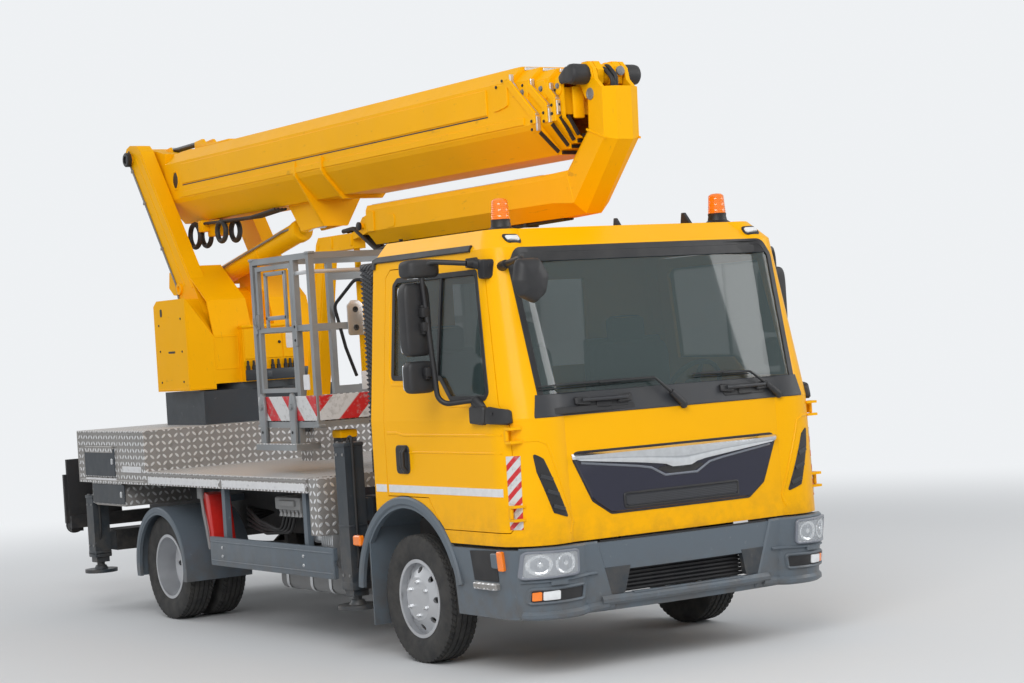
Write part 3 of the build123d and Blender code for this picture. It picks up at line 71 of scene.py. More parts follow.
class Signal:
    """A socket of a node tree. Arithmetic on it adds Math nodes, and node() adds any other node."""

    def __init__(self, tree, socket=None):
        self.tree = tree
        self.socket = socket

    def node(self, kind, settings=None, inputs=None, output=0):
        """New node of a kind: its settings first, then its sockets' values or links; returns one output."""
        made = self.tree.nodes.new(kind)
        for name, value in (settings or {}).items():
            setattr(made, name, value)
        for key, value in (inputs or {}).items():
            if isinstance(value, Signal):
                self.tree.links.new(value.socket, made.inputs[key])
            elif value is not None:
                made.inputs[key].default_value = value
        return Signal(self.tree, made.outputs[output])

    def math(self, operation, other=None):
        """Math node of an operation on this signal and another signal or number."""
        return self.node("ShaderNodeMath", {"operation": operation}, {0: self, 1: other})

    def __add__(self, other):
        return self.math("ADD", other)

    __radd__ = __add__

    def __mul__(self, other):
        return self.math("MULTIPLY", other)

    __rmul__ = __mul__

    def __sub__(self, other):
        return self.math("SUBTRACT", other)

    def __rsub__(self, other):
        return self.node("ShaderNodeMath", {"operation": "SUBTRACT"}, {0: other, 1: self})

    def __truediv__(self, other):
        return self.math("DIVIDE", other)

    def __mod__(self, other):
        return self.math("FLOORED_MODULO", other)

    def __abs__(self):
        return self.math("ABSOLUTE")

    def above(self, edge, soft=0.001):
        """0 below the edge and 1 above it, with a smooth step this wide."""
        return self.node("ShaderNodeMapRange", {"interpolation_type": "SMOOTHSTEP"}, {
            "Value": self, "From Min": edge - soft, "From Max": edge + soft})

    def below(self, edge, soft=0.001):
        """1 below the edge and 0 above it."""
        return 1 - self.above(edge, soft)

    def mix(self, first, second):
        """Colour mix: first where this signal is 0, second where it is 1."""
        return self.node("ShaderNodeMix", {"data_type": "RGBA"}, {"Factor": self, 6: first, 7: second}, 2)


class Finish:
    """A material around one Principled shader; tint() and the others link what varies."""

    def __init__(self, name, colour, roughness=0.5, metallic=0.0, **fixed):
        self.material = bpy.data.materials.new(name)
        self.material.use_nodes = True
        self.tree = self.material.node_tree
        self.shader = self.tree.nodes["Principled BSDF"]
        self.node = Signal(self.tree).node
        self.base = (*colour, 1)
        self.shader.inputs["Base Color"].default_value = self.base
        self.shader.inputs["Roughness"].default_value = roughness
        self.shader.inputs["Metallic"].default_value = metallic
        for key, value in fixed.items():
            self.shader.inputs[key.replace("_", " ").title().replace("Ior", "IOR")].default_value = value
        self.place = self.node("ShaderNodeTexCoord", output="Object")
        self.x = self.axis(0)
        self.y = self.axis(1)
        self.z = self.axis(2)

    def axis(self, number):
        """One coordinate of the place, in metres."""
        return self.node("ShaderNodeSeparateXYZ", inputs={0: self.place}, output=number)

    def noise(self, scale, detail=3.0, roughness=0.5, place=None):
        """Noise around 0.5 with this many cells a metre."""
        return self.node("ShaderNodeTexNoise", inputs={
            "Vector": place or self.place, "Scale": scale, "Detail": detail, "Roughness": roughness})

    def stretched(self, factors):
        """The place with its axes scaled, for streaks."""
        return self.node("ShaderNodeVectorMath", {"operation": "MULTIPLY"}, {0: self.place, 1: factors})

    def link(self, key, signal):
        """Links a signal to a socket of the shader."""
        self.tree.links.new(signal.socket, self.shader.inputs[key])

    def tint(self, mask, colour):
        """Lays a colour over the base colour where the mask is 1."""
        under = self.base
        self.base = mask.mix(under, (*colour, 1) if len(colour) == 3 else colour)
        self.link("Base Color", self.base)
        return self

    def shade(self, mask, factor):
        """Multiplies the base colour by a factor where the mask is 1."""
        dark = self.node(
            "ShaderNodeMix", {"data_type": "RGBA", "blend_type": "MULTIPLY"},
            {"Factor": 1.0, 6: self.base, 7: (factor, factor, factor, 1)}, 2)
        self.base = mask.mix(self.base, dark)
        self.link("Base Color", self.base)
        return self

    def rough(self, signal):
        """Links the roughness."""
        self.link("Roughness", signal)
        return self

    def bump(self, height, distance, strength=1.0):
        """Bump from a height signal, this many metres deep."""
        self.link("Normal", self.node("ShaderNodeBump", inputs={
            "Height": height, "Distance": distance, "Strength": strength}))
        return self

    def grime(self, low, high, colour=(0.055, 0.045, 0.035), most=0.6):
        """Road dust that fades upwards from one height to another, in blotches."""
        fade = self.node("ShaderNodeMapRange", {"interpolation_type": "SMOOTHSTEP"}, {
            "Value": self.z, "From Min": low, "From Max": high, "To Min": most, "To Max": 0.0})
        mask = fade * self.noise(9, 5, 0.65).above(0.5, 0.18)
        return self.tint(mask, colour)


YELLOW = (0.95, 0.455, 0.0)
SLATE = (0.028, 0.036, 0.045)


def yellow_paint():
    """Glossy yellow coach paint: faint blotches, dust low down, orange peel."""
    paint = Finish("cab_yellow", YELLOW, 0.34, coat_weight=0.1, coat_roughness=0.1, specular_ior_level=0.12)
    paint.shade(paint.noise(1.7, 4).above(0.5, 0.35) * 0.5, 0.9)
    paint.grime(0.5, 1.1, (0.25, 0.13, 0.03), 0.45)
    paint.rough(0.24 + 0.18 * paint.noise(5, 4))
    return paint.bump(paint.noise(260, 1), 0.0004, 0.12).material


def crane_paint():
    """Yellow machine paint of the superstructure: duller, with rub marks and fine scratches."""
    paint = Finish(
        "crane_yellow", YELLOW, 0.42, coat_weight=0.04, coat_roughness=0.25, specular_ior_level=0.1)
    paint.shade(paint.noise(2.3, 5).above(0.52, 0.3) * 0.5, 0.9)
    streaks = paint.noise(14, 6, 0.7, paint.stretched((6.0, 0.35, 1.0))).above(0.66, 0.04)
    paint.tint(streaks * 0.35, (0.35, 0.17, 0.03))
    paint.rough(0.4 + 0.25 * paint.noise(6, 5))
    return paint.bump(paint.noise(180, 2), 0.0006, 0.15).material


def dark_paint(name, colour, roughness=0.45, low=0.3, high=1.2):
    """Chassis or outrigger paint with dust and scuffs down to grey."""
    paint = Finish(name, colour, roughness, coat_weight=0.1)
    scuffs = paint.noise(22, 8, 0.7).above(0.66, 0.03)
    paint.tint(scuffs * 0.5, tuple(0.12 + 0.8 * value for value in colour))
    paint.grime(low, high, (0.1, 0.085, 0.07), 0.55)
    paint.rough(roughness - 0.08 + 0.25 * paint.noise(12, 5))
    return paint.bump(paint.noise(90, 4), 0.0008, 0.2).material


def bare_metal(name, colour, roughness=0.35, metallic=0.9, grain=(1.0, 14.0, 1.0)):
    """Brushed or cast light metal with drawn grain and dull patches."""
    metal = Finish(name, colour, roughness, metallic)
    metal.shade(metal.noise(3, 5).above(0.5, 0.3), 0.8)
    drawn = metal.noise(40, 3, 0.6, metal.stretched(grain))
    metal.rough(roughness - 0.08 + 0.2 * drawn + 0.1 * metal.noise(7, 4))
    return metal.bump(drawn, 0.0003, 0.3).material


def checker_plate():
    """Bare tread plate: short raised lens ribs, laid crosswise in a chequer, over a dull sheet."""
    plate = Finish("checker_plate", (0.34, 0.325, 0.31), 0.42, 0.55)
    normal = plate.node("ShaderNodeTexCoord", output="Normal")
    flat = abs(plate.node("ShaderNodeSeparateXYZ", inputs={0: normal}, output=2)).above(0.5)
    side = abs(plate.node("ShaderNodeSeparateXYZ", inputs={0: normal}, output=0)).above(0.5)
    # On flat tops the pattern runs over x and y, on side walls over y and z, on end walls over x and z
    across = flat * plate.x + (1 - flat) * (side * plate.y + (1 - side) * plate.x)
    along = flat * plate.y + (1 - flat) * plate.z
    cell = 0.07
    u = (across + along) / (cell * 1.4142)
    v = (across - along) / (cell * 1.4142)
    ribs = []
    for long_way, short_way, shift in ((u, v, 0.0), (v, u, 0.5)):
        run = abs((long_way + shift) % 1.0 - 0.5)
        gap = abs((short_way + shift) % 1.0 - 0.5)
        ribs.append((1 - run * run * 12 - gap * gap * 60).above(0.1, 0.3))
    raised = ribs[0].math("MAXIMUM", ribs[1])
    plate.shade(plate.noise(1.4, 4).above(0.5, 0.3) * 0.5, 0.8)
    plate.tint(plate.noise(13, 7, 0.7).above(0.62, 0.1) * 0.4, (0.14, 0.125, 0.11))
    # Upward faces are painted lighter than the walls: painted sky light on the tops
    plate.tint(flat * 0.45, (0.74, 0.73, 0.72))
    plate.tint(raised * 0.9, (0.9, 0.9, 0.91))
    plate.rough(0.5 - 0.2 * raised + 0.15 * plate.noise(8, 4))
    return plate.bump(raised, 0.0035, 0.9).material


def tyre_rubber():
    """Tyre rubber: grey dust on the flanks and in the grooves."""
    rubber = Finish("tyre_rubber", (0.022, 0.022, 0.023), 0.75)
    rubber.tint(rubber.noise(11, 6, 0.65).above(0.5, 0.22) * 0.5, (0.075, 0.07, 0.062))
    rubber.rough(0.62 + 0.3 * rubber.noise(16, 4))
    return rubber.bump(rubber.noise(140, 3), 0.0008, 0.4).material


def black_plastic(name="black_plastic", colour=(0.018, 0.018, 0.02), roughness=0.5):
    """Grained moulded plastic."""
    plastic = Finish(name, colour, roughness)
    plastic.tint(plastic.noise(6, 5).above(0.55, 0.25) * 0.4, (0.05, 0.048, 0.045))
    plastic.rough(roughness - 0.06 + 0.2 * plastic.noise(9, 4))
    return plastic.bump(plastic.noise(520, 2), 0.0004, 0.5).material


def tinted_glass(name, colour=(0.05, 0.075, 0.075), alpha=0.55):
    """Dark window glass: a see-through sheet with a glossy face."""
    glass = Finish(name, colour, 0.02, specular_ior_level=0.9)
    glass.shader.inputs["Alpha"].default_value = alpha
    glass.rough(0.02 + 0.02 * glass.noise(3, 2))
    return glass.material


def seat_cloth():
    """Woven seat cloth with a fine cross weave."""
    cloth = Finish("seat_cloth", (0.045, 0.05, 0.06), 0.9)
    weave = (cloth.x * 900).math("SINE") * (cloth.z * 900 + cloth.y * 500).math("SINE")
    cloth.tint(weave.above(0.0, 0.6) * 0.4, (0.1, 0.11, 0.13))
    return cloth.bump(weave, 0.0006, 0.5).material


def plain_coat(name, colour, roughness=0.4, metallic=0.0, **fixed):
    """Small part's finish with faint unevenness."""
    coat = Finish(name, colour, roughness, metallic, **fixed)
    coat.shade(coat.noise(30, 4).above(0.5, 0.3) * 0.6, 0.82)
    coat.rough(roughness - 0.04 + 0.12 * coat.noise(25, 3))
    return coat.material


def striped(name, along, period, tilt=1.0):
    """Red and white hazard tape: diagonal bars from the height and a run along the surface, with scuffs."""
    tape = Finish(name, (0.6, 0.6, 0.6), 0.35)
    run = tape.x * along[0] + tape.y * along[1]
    bars = ((tape.z - run * tilt) / period % 1.0).below(0.42, 0.02)
    tape.tint(bars, (0.55, 0.015, 0.02))
    tape.tint(tape.noise(28, 6, 0.7).above(0.58, 0.08) * 0.6, (0.36, 0.35, 0.34))
    return tape.rough(0.3 + 0.25 * tape.noise(12, 4)).material


def perforated():
    """Dark plate with staggered round holes, seen from the front."""
    mesh = Finish("grille_mesh", (0.05, 0.052, 0.06), 0.45)
    cell = 0.011
    row = (mesh.z / (cell * 0.866)).math("FLOOR")
    across = ((mesh.x + mesh.y) / cell + row * 0.5) % 1.0 - 0.5
    upward = (mesh.z / (cell * 0.866)) % 1.0 - 0.5
    hole = (across * across + upward * upward).below(0.11, 0.03)
    # The holes are painted near-black: painted shade behind them, with no hole cut
    mesh.tint(hole, (0.002, 0.002, 0.003))
    return mesh.bump(1 - hole, 0.004, 0.8).material


def ribbed_panel(name, colour, period, slope=0.0):
    """Dark moulding with a row of ribs up its height, slanted along y."""
    panel = Finish(name, colour, 0.5)
    wave = (panel.z + panel.y * slope) / period % 1.0 - 0.5
    rib = (abs(wave) * 2).above(0.5, 0.2)
    # The ribs are painted lighter than the grooves: painted light on the ribs and painted shade in the
    # grooves
    panel.tint(rib, tuple(value * 5 + 0.02 for value in colour))
    panel.tint(panel.noise(7, 5).above(0.55, 0.2) * 0.3, (0.06, 0.055, 0.05))
    return panel.bump(rib, 0.006, 0.9).material


CAB_YELLOW = yellow_paint()
CRANE_YELLOW = crane_paint()
SLATE_PAINT = dark_paint("slate_paint", SLATE, 0.4)
CHASSIS_BLACK = dark_paint("chassis_black", (0.018, 0.018, 0.02), 0.55, 0.3, 1.0)
GUARD_GREY = dark_paint("guard_grey", (0.1, 0.125, 0.15), 0.4, 0.3, 0.75)
ALLOY = bare_metal("basket_alloy", (0.36, 0.375, 0.385), 0.42, 0.65)
BRIGHT_ALLOY = bare_metal("bright_alloy", (0.72, 0.73, 0.74), 0.3, 0.85)
RIM_SILVER = bare_metal("rim_silver", (0.62, 0.63, 0.65), 0.3, 0.8, (1.0, 1.0, 1.0))
CAST_GREY = bare_metal("cast_grey", (0.3, 0.3, 0.3), 0.55, 0.6, (1.0, 1.0, 1.0))
ROD_CHROME = plain_coat("rod_chrome", (0.8, 0.81, 0.83), 0.12, 1.0)
PLATE = checker_plate()
RUBBER = tyre_rubber()
PLASTIC = black_plastic()
SEAT = seat_cloth()
WINDOW = tinted_glass("window_glass")
LAMP_GLASS = tinted_glass("lamp_glass", (0.75, 0.78, 0.8), 0.35)
AMBER = plain_coat("amber_lens", (1.0, 0.23, 0.01), 0.12, coat_weight=0.6)
RED_LENS = plain_coat("red_lens", (0.6, 0.02, 0.015), 0.15, coat_weight=0.6)
WHITE_LENS = plain_coat("white_lens", (0.8, 0.81, 0.82), 0.15)
MIRROR = plain_coat("mirror_glass", (0.85, 0.87, 0.88), 0.03, 1.0)
NAVY_GLOSS = plain_coat("navy_gloss", (0.012, 0.012, 0.03), 0.12, coat_weight=0.8)
CHROME = plain_coat("chrome", (0.82, 0.84, 0.86), 0.08, 1.0)
TRIM_GREY = plain_coat("trim_grey", (0.2, 0.215, 0.25), 0.35, coat_weight=0.3)
WHITE_TAPE = plain_coat("white_tape", (0.72, 0.72, 0.73), 0.35)
GASKET = black_plastic("gasket", (0.01, 0.01, 0.012), 0.45)
CLADDING = black_plastic("cladding", (0.03, 0.032, 0.037), 0.42)
HOSE = black_plastic("hose_rubber", (0.014, 0.014, 0.015), 0.55)
GRILLE_MESH = perforated()
CORNER_TAPE = striped("corner_tape", (0.6, -0.8), 0.085)
CORNER_TAPE_LEFT = striped("corner_tape_left", (-0.6, -0.8), 0.085)
KICK_TAPE = striped("kick_tape", (0.0, -1.0), 0.34, -1.0)
KICK_TAPE_REAR = striped("kick_tape_rear", (1.0, 0.0), 0.34)
INTAKE_SLATS = ribbed_panel("intake_slats", (0.008, 0.008, 0.009), 0.022, 0.5)

NODE_FINISHES = (
    (CAB_YELLOW, ("cab_shell",)),
    (CRANE_YELLOW, (
        "boom_section_1", "boom_section_2", "boom_section_3", "boom_section_4", "jib", "turntable",
        "side_cover", "lift_barrel", "basket_carrier")),
    (CHASSIS_BLACK, ("chassis", "axles", "leaf_springs", "rear_bar")),
    (GUARD_GREY, ("side_guards", "bumper", "mudguards")), (PLATE, ("deck", "rear_box", "basket_floor")),
    (ALLOY, ("basket_frame", "basket_gate")),
    (PLASTIC, ("front_trim", "front_mirror", "air_intake", "control_console")),
    (CAST_GREY, ("side_tanks", "engine")), (SLATE_PAINT, ("pedestal",)), (ROD_CHROME, ("lift_rod",)),
    (SEAT, ("cab_interior",)), (LAMP_GLASS, ("headlamps",)), (WINDOW, ("cab_glass",)),
    (AMBER, ("beacons",)))
# The same for nodes that come in a right and a left
SIDE_FINISHES = (
    (CAB_YELLOW, ("door",)), (PLATE, ("locker_door",)), (RUBBER, ("front_tyre", "rear_tyres")),
    (RIM_SILVER, ("front_rim", "rear_rims")), (CHASSIS_BLACK, ("knuckle",)), (PLASTIC, ("mirror",)),
    (WINDOW, ("door_glass",)),
    (SLATE_PAINT, ("outrigger_front", "outrigger_rear", "jack_front", "jack_rear")))
CAD_FINISH = {name: finish for finish, names in NODE_FINISHES for name in names}
CAD_FINISH.update({
    f"{name}_{hand}": finish for finish, names in SIDE_FINISHES for name in names for hand, side in SIDES})
for node_name, node in NODES.items():
    node.data.materials.clear()
    node.data.materials.append(CAD_FINISH[node_name])

# Colour slot of each finish, where a piece doesn't name another; build() looks it up but gives no piece a
# slot
SLOT_FINISHES = (
    ("trim_black", (GASKET, PLASTIC, CLADDING, HOSE, NAVY_GLOSS, TRIM_GREY, GRILLE_MESH, INTAKE_SLATS)),
    ("lamp_clear", (WHITE_TAPE, WHITE_LENS, LAMP_GLASS, CORNER_TAPE, CORNER_TAPE_LEFT)),
    ("basket_alloy", (KICK_TAPE, KICK_TAPE_REAR, ALLOY)), ("yellow_paint", (CRANE_YELLOW, CAB_YELLOW)),
    ("beacon_amber", (AMBER, RED_LENS)), ("rim_paint", (BRIGHT_ALLOY, CHROME)),
    ("steel_grey", (CAST_GREY,)), ("tyre_black", (RUBBER,)), ("rod_chrome", (MIRROR,)),
    ("guard_paint", (GUARD_GREY,)), ("slate_paint", (SLATE_PAINT,)), ("checker_plate", (PLATE,)),
    ("seat_grey", (SEAT,)))
SLOTS = {finish: slot for slot, finishes in SLOT_FINISHES for finish in finishes}


# Meshes worked out as arrays


def grid(points, wrap_rows=False, wrap_columns=False):
    """Quads between neighbouring points of a rows by columns array; an edge can wrap to the opposite one."""
    rows, columns = points.shape[:2]
    number = np.arange(rows * columns).reshape(rows, columns)
    if wrap_rows:
        number = np.vstack([number, number[:1]])
    if wrap_columns:
        number = np.hstack([number, number[:, :1]])
    quads = np.stack([number[:-1, :-1], number[:-1, 1:], number[1:, 1:], number[1:, :-1]], axis=-1)
    return points.reshape(-1, 3), quads.reshape(-1, 4)


def build(name, sheets, material, body="truck", slot=None, smooth=30, replaces=()):
    """One piece from several sheets. A sheet is (points, wrap rows, wrap columns); open ends of a sheet whose
    columns wrap are closed by a flat face. Doubles merge, and the normals are made to point outwards."""
    mesh_points = []
    faces = []
    offset = 0
    for points, wrap_rows, wrap_columns in sheets:
        vertices, quads = grid(np.asarray(points, float), wrap_rows, wrap_columns)
        faces += (quads + offset).tolist()
        if wrap_columns and not wrap_rows:
            columns = points.shape[1]
            faces.append((offset + np.arange(columns)).tolist())
            faces.append((offset + len(vertices) - 1 - np.arange(columns)).tolist())
        mesh_points.append(vertices)
        offset += len(vertices)
    mesh = bpy.data.meshes.new(name)
    mesh.from_pydata(np.concatenate(mesh_points), [], faces)
    work = bmesh.new()
    work.from_mesh(mesh)
    bmesh.ops.remove_doubles(work, verts=work.verts, dist=1e-5)
    bmesh.ops.dissolve_degenerate(work, edges=work.edges, dist=1e-6)
    bmesh.ops.recalc_face_normals(work, faces=work.faces)
    work.to_mesh(mesh)
    work.free()
    if smooth:
        mesh.shade_smooth()
        mesh.set_sharp_from_angle(angle=math.radians(smooth))
    mesh.materials.append(material)
    piece = bpy.data.objects.new(name, mesh)
    bpy.context.scene.collection.objects.link(piece)
    if body:
        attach(piece, body)
    slot or SLOTS[material]
    if replaces:
        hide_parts(*replaces)
    return piece


def turns(steps):
    """Angles in radians of a full turn, without its end."""
    return np.linspace(0, 2 * math.pi, steps, endpoint=False)


def arc(start, end, steps):
    """Angles in radians from start to end degrees."""
    return np.radians(np.linspace(start, end, steps))


def block(low, high, radius=0.006):
    """Box with rounded edges: its core corners, each with a sphere's octant of the radius around it."""
    steps = 3
    low, high = np.sort(np.array([low, high], float), axis=0)
    half = (high - low) / 2
    radius = min(radius, half.min() * 0.98)
    around = np.concatenate([arc(90 * turn, 90 * turn + 90, steps) for turn in range(4)])
    up = np.concatenate([arc(-90, 0, steps), arc(0, 90, steps)])
    corner_x = np.repeat([1, -1, -1, 1], steps)
    corner_y = np.repeat([1, 1, -1, -1], steps)
    corner_z = np.repeat([-1, 1], steps)
    core = half - radius
    x = corner_x * core[0] + radius * np.cos(up)[:, None] * np.cos(around)
    y = corner_y * core[1] + radius * np.cos(up)[:, None] * np.sin(around)
    z = (corner_z * core[2] + radius * np.sin(up))[:, None] * np.ones_like(around)
    return np.stack([x, y, z], axis=-1) + (high + low) / 2, False, True


def spun(profile, centre, axis="x", steps=48, side=1):
    """Profile of (distance along the axis, radius) turned about an axis through a centre."""
    profile = np.asarray(profile, float)
    turn = turns(steps)
    along = side * profile[:, :1] * np.ones_like(turn)
    ring_a = profile[:, 1:2] * np.cos(turn)
    ring_b = profile[:, 1:2] * np.sin(turn)
    order = {"x": (along, ring_a, ring_b), "y": (ring_b, along, ring_a), "z": (ring_a, ring_b, along)}[axis]
    return np.stack(order, axis=-1) + np.asarray(centre, float), False, True


def tube(path, radius, sides=12, closed=False):
    """Round tube along a path: a ring square to the path at each point, carried on without twist."""
    path = np.asarray(path, float)
    ahead = np.roll(path, -1, 0) - np.roll(path, 1, 0)
    if not closed:
        ahead[0] = path[1] - path[0]
        ahead[-1] = path[-1] - path[-2]
    ahead /= np.linalg.norm(ahead, axis=1, keepdims=True)
    normal = np.cross(ahead[0], [0.31, 0.52, 0.79])
    rings = []
    turn = turns(sides)[:, None]
    radii = np.broadcast_to(radius, len(path))
    for point, direction, size in zip(path, ahead, radii):
        normal = normal - direction * (normal @ direction)
        normal /= np.linalg.norm(normal)
        other = np.cross(direction, normal)
        rings.append(point + size * (np.cos(turn) * normal + np.sin(turn) * other))
    return np.array(rings), closed, True


def rounded(points, radius, steps=6):
    """Path whose corners are arcs that touch both runs at the radius."""
    points = np.asarray(points, float)
    out = [points[0]]
    for before, corner, after in zip(points, points[1:], points[2:]):
        one = (before - corner) / np.linalg.norm(before - corner)
        two = (after - corner) / np.linalg.norm(after - corner)
        half = math.acos(np.clip(one @ two, -1, 1)) / 2
        if half > 1.56:
            out.append(corner)
            continue
        reach = radius / math.tan(half)
        centre = corner + (one + two) / np.linalg.norm(one + two) * radius / math.sin(half)
        first = corner + one * reach - centre
        last = corner + two * reach - centre
        for share in np.linspace(0, 1, steps):
            angle = (math.pi - 2 * half) * share
            whole = math.pi - 2 * half
            out.append(
                centre + (first * math.sin(whole - angle) + last * math.sin(angle)) / math.sin(whole))
    out.append(points[-1])
    return np.array(out)


def plate(outline, span, axis="x", edge=0.003):
    """Flat plate with rounded rims: at both faces its closed outline is drawn in by edge * (1 - cos). The
    outline runs over the two axes other than axis, in x, y, z order; span is the extent along axis."""
    outline = np.asarray(outline, float)
    before = np.roll(outline, 1, 0)
    after = np.roll(outline, -1, 0)
    one = (outline - before) / np.linalg.norm(outline - before, axis=1, keepdims=True)
    two = (after - outline) / np.linalg.norm(after - outline, axis=1, keepdims=True)
    area = np.sum(before[:, 0] * outline[:, 1] - before[:, 1] * outline[:, 0])
    left = np.array([[0, -1], [1, 0]]) * (1 if area > 0 else -1)
    inward = one @ left.T + two @ left.T
    inward /= np.maximum(1 + np.sum(one * two, axis=1, keepdims=True), 0.3)
    low, high = sorted(span)
    edge = min(edge, (high - low) / 2.05)
    angles = arc(0, 90, 3)
    depth = np.concatenate([low + edge * (1 - np.sin(angles)), high - edge * (1 - np.sin(angles[::-1]))])
    draw = np.concatenate([edge * (1 - np.cos(angles)), edge * (1 - np.cos(angles[::-1]))])
    order = np.argsort(depth)
    depth = depth[order]
    draw = draw[order]
    flat = outline + inward * draw[:, None, None]
    level = np.broadcast_to(depth[:, None, None], (*flat.shape[:2], 1))
    parts = {"x": (level, flat), "y": (flat[..., :1], level, flat[..., 1:]), "z": (flat, level)}[axis]
    return np.concatenate(parts, axis=-1), False, True


def rounded_loop(points, radius, steps=5):
    """Closed outline whose corners are arcs of the radius."""
    points = np.asarray(points, float)
    middle = (points[-1:] + points[:1]) / 2
    return rounded(np.concatenate([middle, points, middle]), radius, steps)[:-1]


def corners(low_u, high_u, low_v, high_v):
    """Closed outline of a rectangle with sharp corners."""
    return [(low_u, low_v), (high_u, low_v), (high_u, high_v), (low_u, high_v)]


def rectangle(low_u, high_u, low_v, high_v, corner=0.004, steps=5):
    """Closed outline of a rectangle with rounded corners."""
    return rounded_loop(corners(low_u, high_u, low_v, high_v), corner, steps)


def mirrored(points):
    """Half outline with its mirror image, as one closed outline."""
    return [*points, *[(-x, z) for x, z in reversed(points)]]


def handed(points, side, corner=0):
    """Outline of (x, z) for the left, mirrored for the right, with rounded corners if a radius is given."""
    points = [(side * x, z) for x, z in points]
    return rounded_loop(points, corner) if corner else points


def finer(path, step):
    """Path with more points on its long runs, spaced evenly along each by at most the step."""
    path = np.asarray(path, float)
    out = [path[:1]]
    for start, end in zip(path, path[1:]):
        count = max(1, math.ceil(np.linalg.norm(end - start) / step))
        share = np.arange(1, count + 1)[:, None] / count
        out.append(start + (end - start) * share)
    return np.concatenate(out)


# Faces: a face turns two coordinates and a lift into points, the lift along its outward normal

CAB_LEVELS = np.array([
    (0.745, 1.115, -3.020, 0.760, -3.246, -3.266), (1.447, 1.115, -3.000, 0.760, -3.226, -3.250),
    (2.405, 1.030, -2.890, 0.820, -3.010, -3.040), (2.515, 0.950, -2.800, 0.760, -2.880, -2.900)])
BUMPER_LEVELS = np.array([
    (0.337, 1.095, -3.020, 0.700, -3.225, -3.260), (0.725, 1.122, -3.040, 0.700, -3.262, -3.290)])


def cab_plan(z, levels):
    """Plan at a height: half width, where the sides end, where the front begins, nose, corner radius."""
    side, corner, front_x, front_y, nose = (np.interp(z, levels[:, 0], levels[:, k]) for k in range(1, 6))
    radius = ((side - front_x) ** 2 + (corner - front_y) ** 2) / (2 * (side - front_x))
    return side, corner, front_x, front_y, nose, radius


def front_face(levels):
    """Front of the cab or bumper over x and z: a shallow arc across, then the round corner to the side."""
    def place(x, z):
        side, corner, front_x, front_y, nose, radius = cab_plan(z, levels)
        sag = front_y - nose
        bow = (front_x ** 2 + sag ** 2) / (2 * sag)
        middle = nose + bow - np.sqrt(bow ** 2 - np.minimum(np.abs(x), front_x) ** 2)
        turn = np.clip(np.abs(x) - side + radius, -radius, radius * 0.9999)
        outer = corner - np.sqrt(radius ** 2 - turn ** 2)
        return np.stack([x, np.where(np.abs(x) > front_x, outer, middle), z], axis=-1)
    return lifted(place, 1)


def side_face(side, levels):
    """Side of the cab or bumper over y and z: flat, then round towards the front."""
    def place(y, z):
        half, corner, front_x, front_y, nose, radius = cab_plan(z, levels)
        turn = np.clip(corner - y, 0, radius * 0.9999)
        return np.stack([side * (half - radius + np.sqrt(radius ** 2 - turn ** 2)), y, z], axis=-1)
    return lifted(place, side)


def lifted(place, way):
    """Face from a surface: its normal is the cross product of the surface's two slopes, times way."""
    def face(u, v, lift=0.0):
        u, v, lift = np.broadcast_arrays(np.asarray(u, float), v, lift)
        step = 1e-4
        normal = np.cross(place(u + step, v) - place(u - step, v), place(u, v + step) - place(u, v - step))
        normal *= way / np.linalg.norm(normal, axis=-1, keepdims=True)
        return place(u, v) + normal * lift[..., None]
    return face


def flat(axis, value, way=1):
    """Flat face square to an axis, over the two others in x, y, z order."""
    number = "xyz".index(axis)
    first, second = [other for other in range(3) if other != number]

    def face(u, v, lift=0.0):
        u, v, lift = np.broadcast_arrays(np.asarray(u, float), v, lift)
        points = np.empty((*u.shape, 3))
        points[..., first] = u
        points[..., second] = v
        points[..., number] = value + way * lift
        return points
    return face


def wall(side, x):
    """Upright face at a distance x to one side, looking outwards."""
    return flat("x", side * x, side)


def sloped(origin, along, up):
    """Flat face through an origin; its coordinates run along two directions, and its lift along their
    cross product."""
    origin, along, up = (np.asarray(value, float) for value in (origin, along, up))
    along = along / np.linalg.norm(along)
    up = up - along * (up @ along)
    up = up / np.linalg.norm(up)
    out = np.cross(along, up)

    def face(u, v, lift=0.0):
        u, v, lift = np.broadcast_arrays(np.asarray(u, float), v, lift)
        return origin + u[..., None] * along + v[..., None] * up + lift[..., None] * out
    return face


def band(face, path, width, lift=0.004, edge=0.002, closed=False, under=0.003):
    """Strip along a path of (u, v) on a face: a flat top with drawn-in rims, mitred at the corners."""
    path = np.asarray(path, float)
    before = np.roll(path, 1, 0)
    after = np.roll(path, -1, 0)
    if not closed:
        before[0] = 2 * path[0] - path[1]
        after[-1] = 2 * path[-1] - path[-2]
    one = (path - before) / np.linalg.norm(path - before, axis=1, keepdims=True)
    two = (after - path) / np.linalg.norm(after - path, axis=1, keepdims=True)
    square = np.array([[0, 1], [-1, 0]])
    across = (one + two) @ square / np.maximum(1 + np.sum(one * two, axis=1, keepdims=True), 0.4)
    half = np.broadcast_to(np.asarray(width, float) / 2, len(path))[:, None]
    edge = min(edge, lift * 0.9)
    section = np.array([
        (-1, 0, -under), (-1, 0, lift - edge), (-1, edge, lift), (1, -edge, lift), (1, 0, lift - edge),
        (1, 0, -under)])
    shift = section[:, 0] * half + section[:, 1]
    points = path[:, None] + across[:, None] * shift[..., None]
    return face(points[..., 0], points[..., 1], section[:, 2]), closed, True


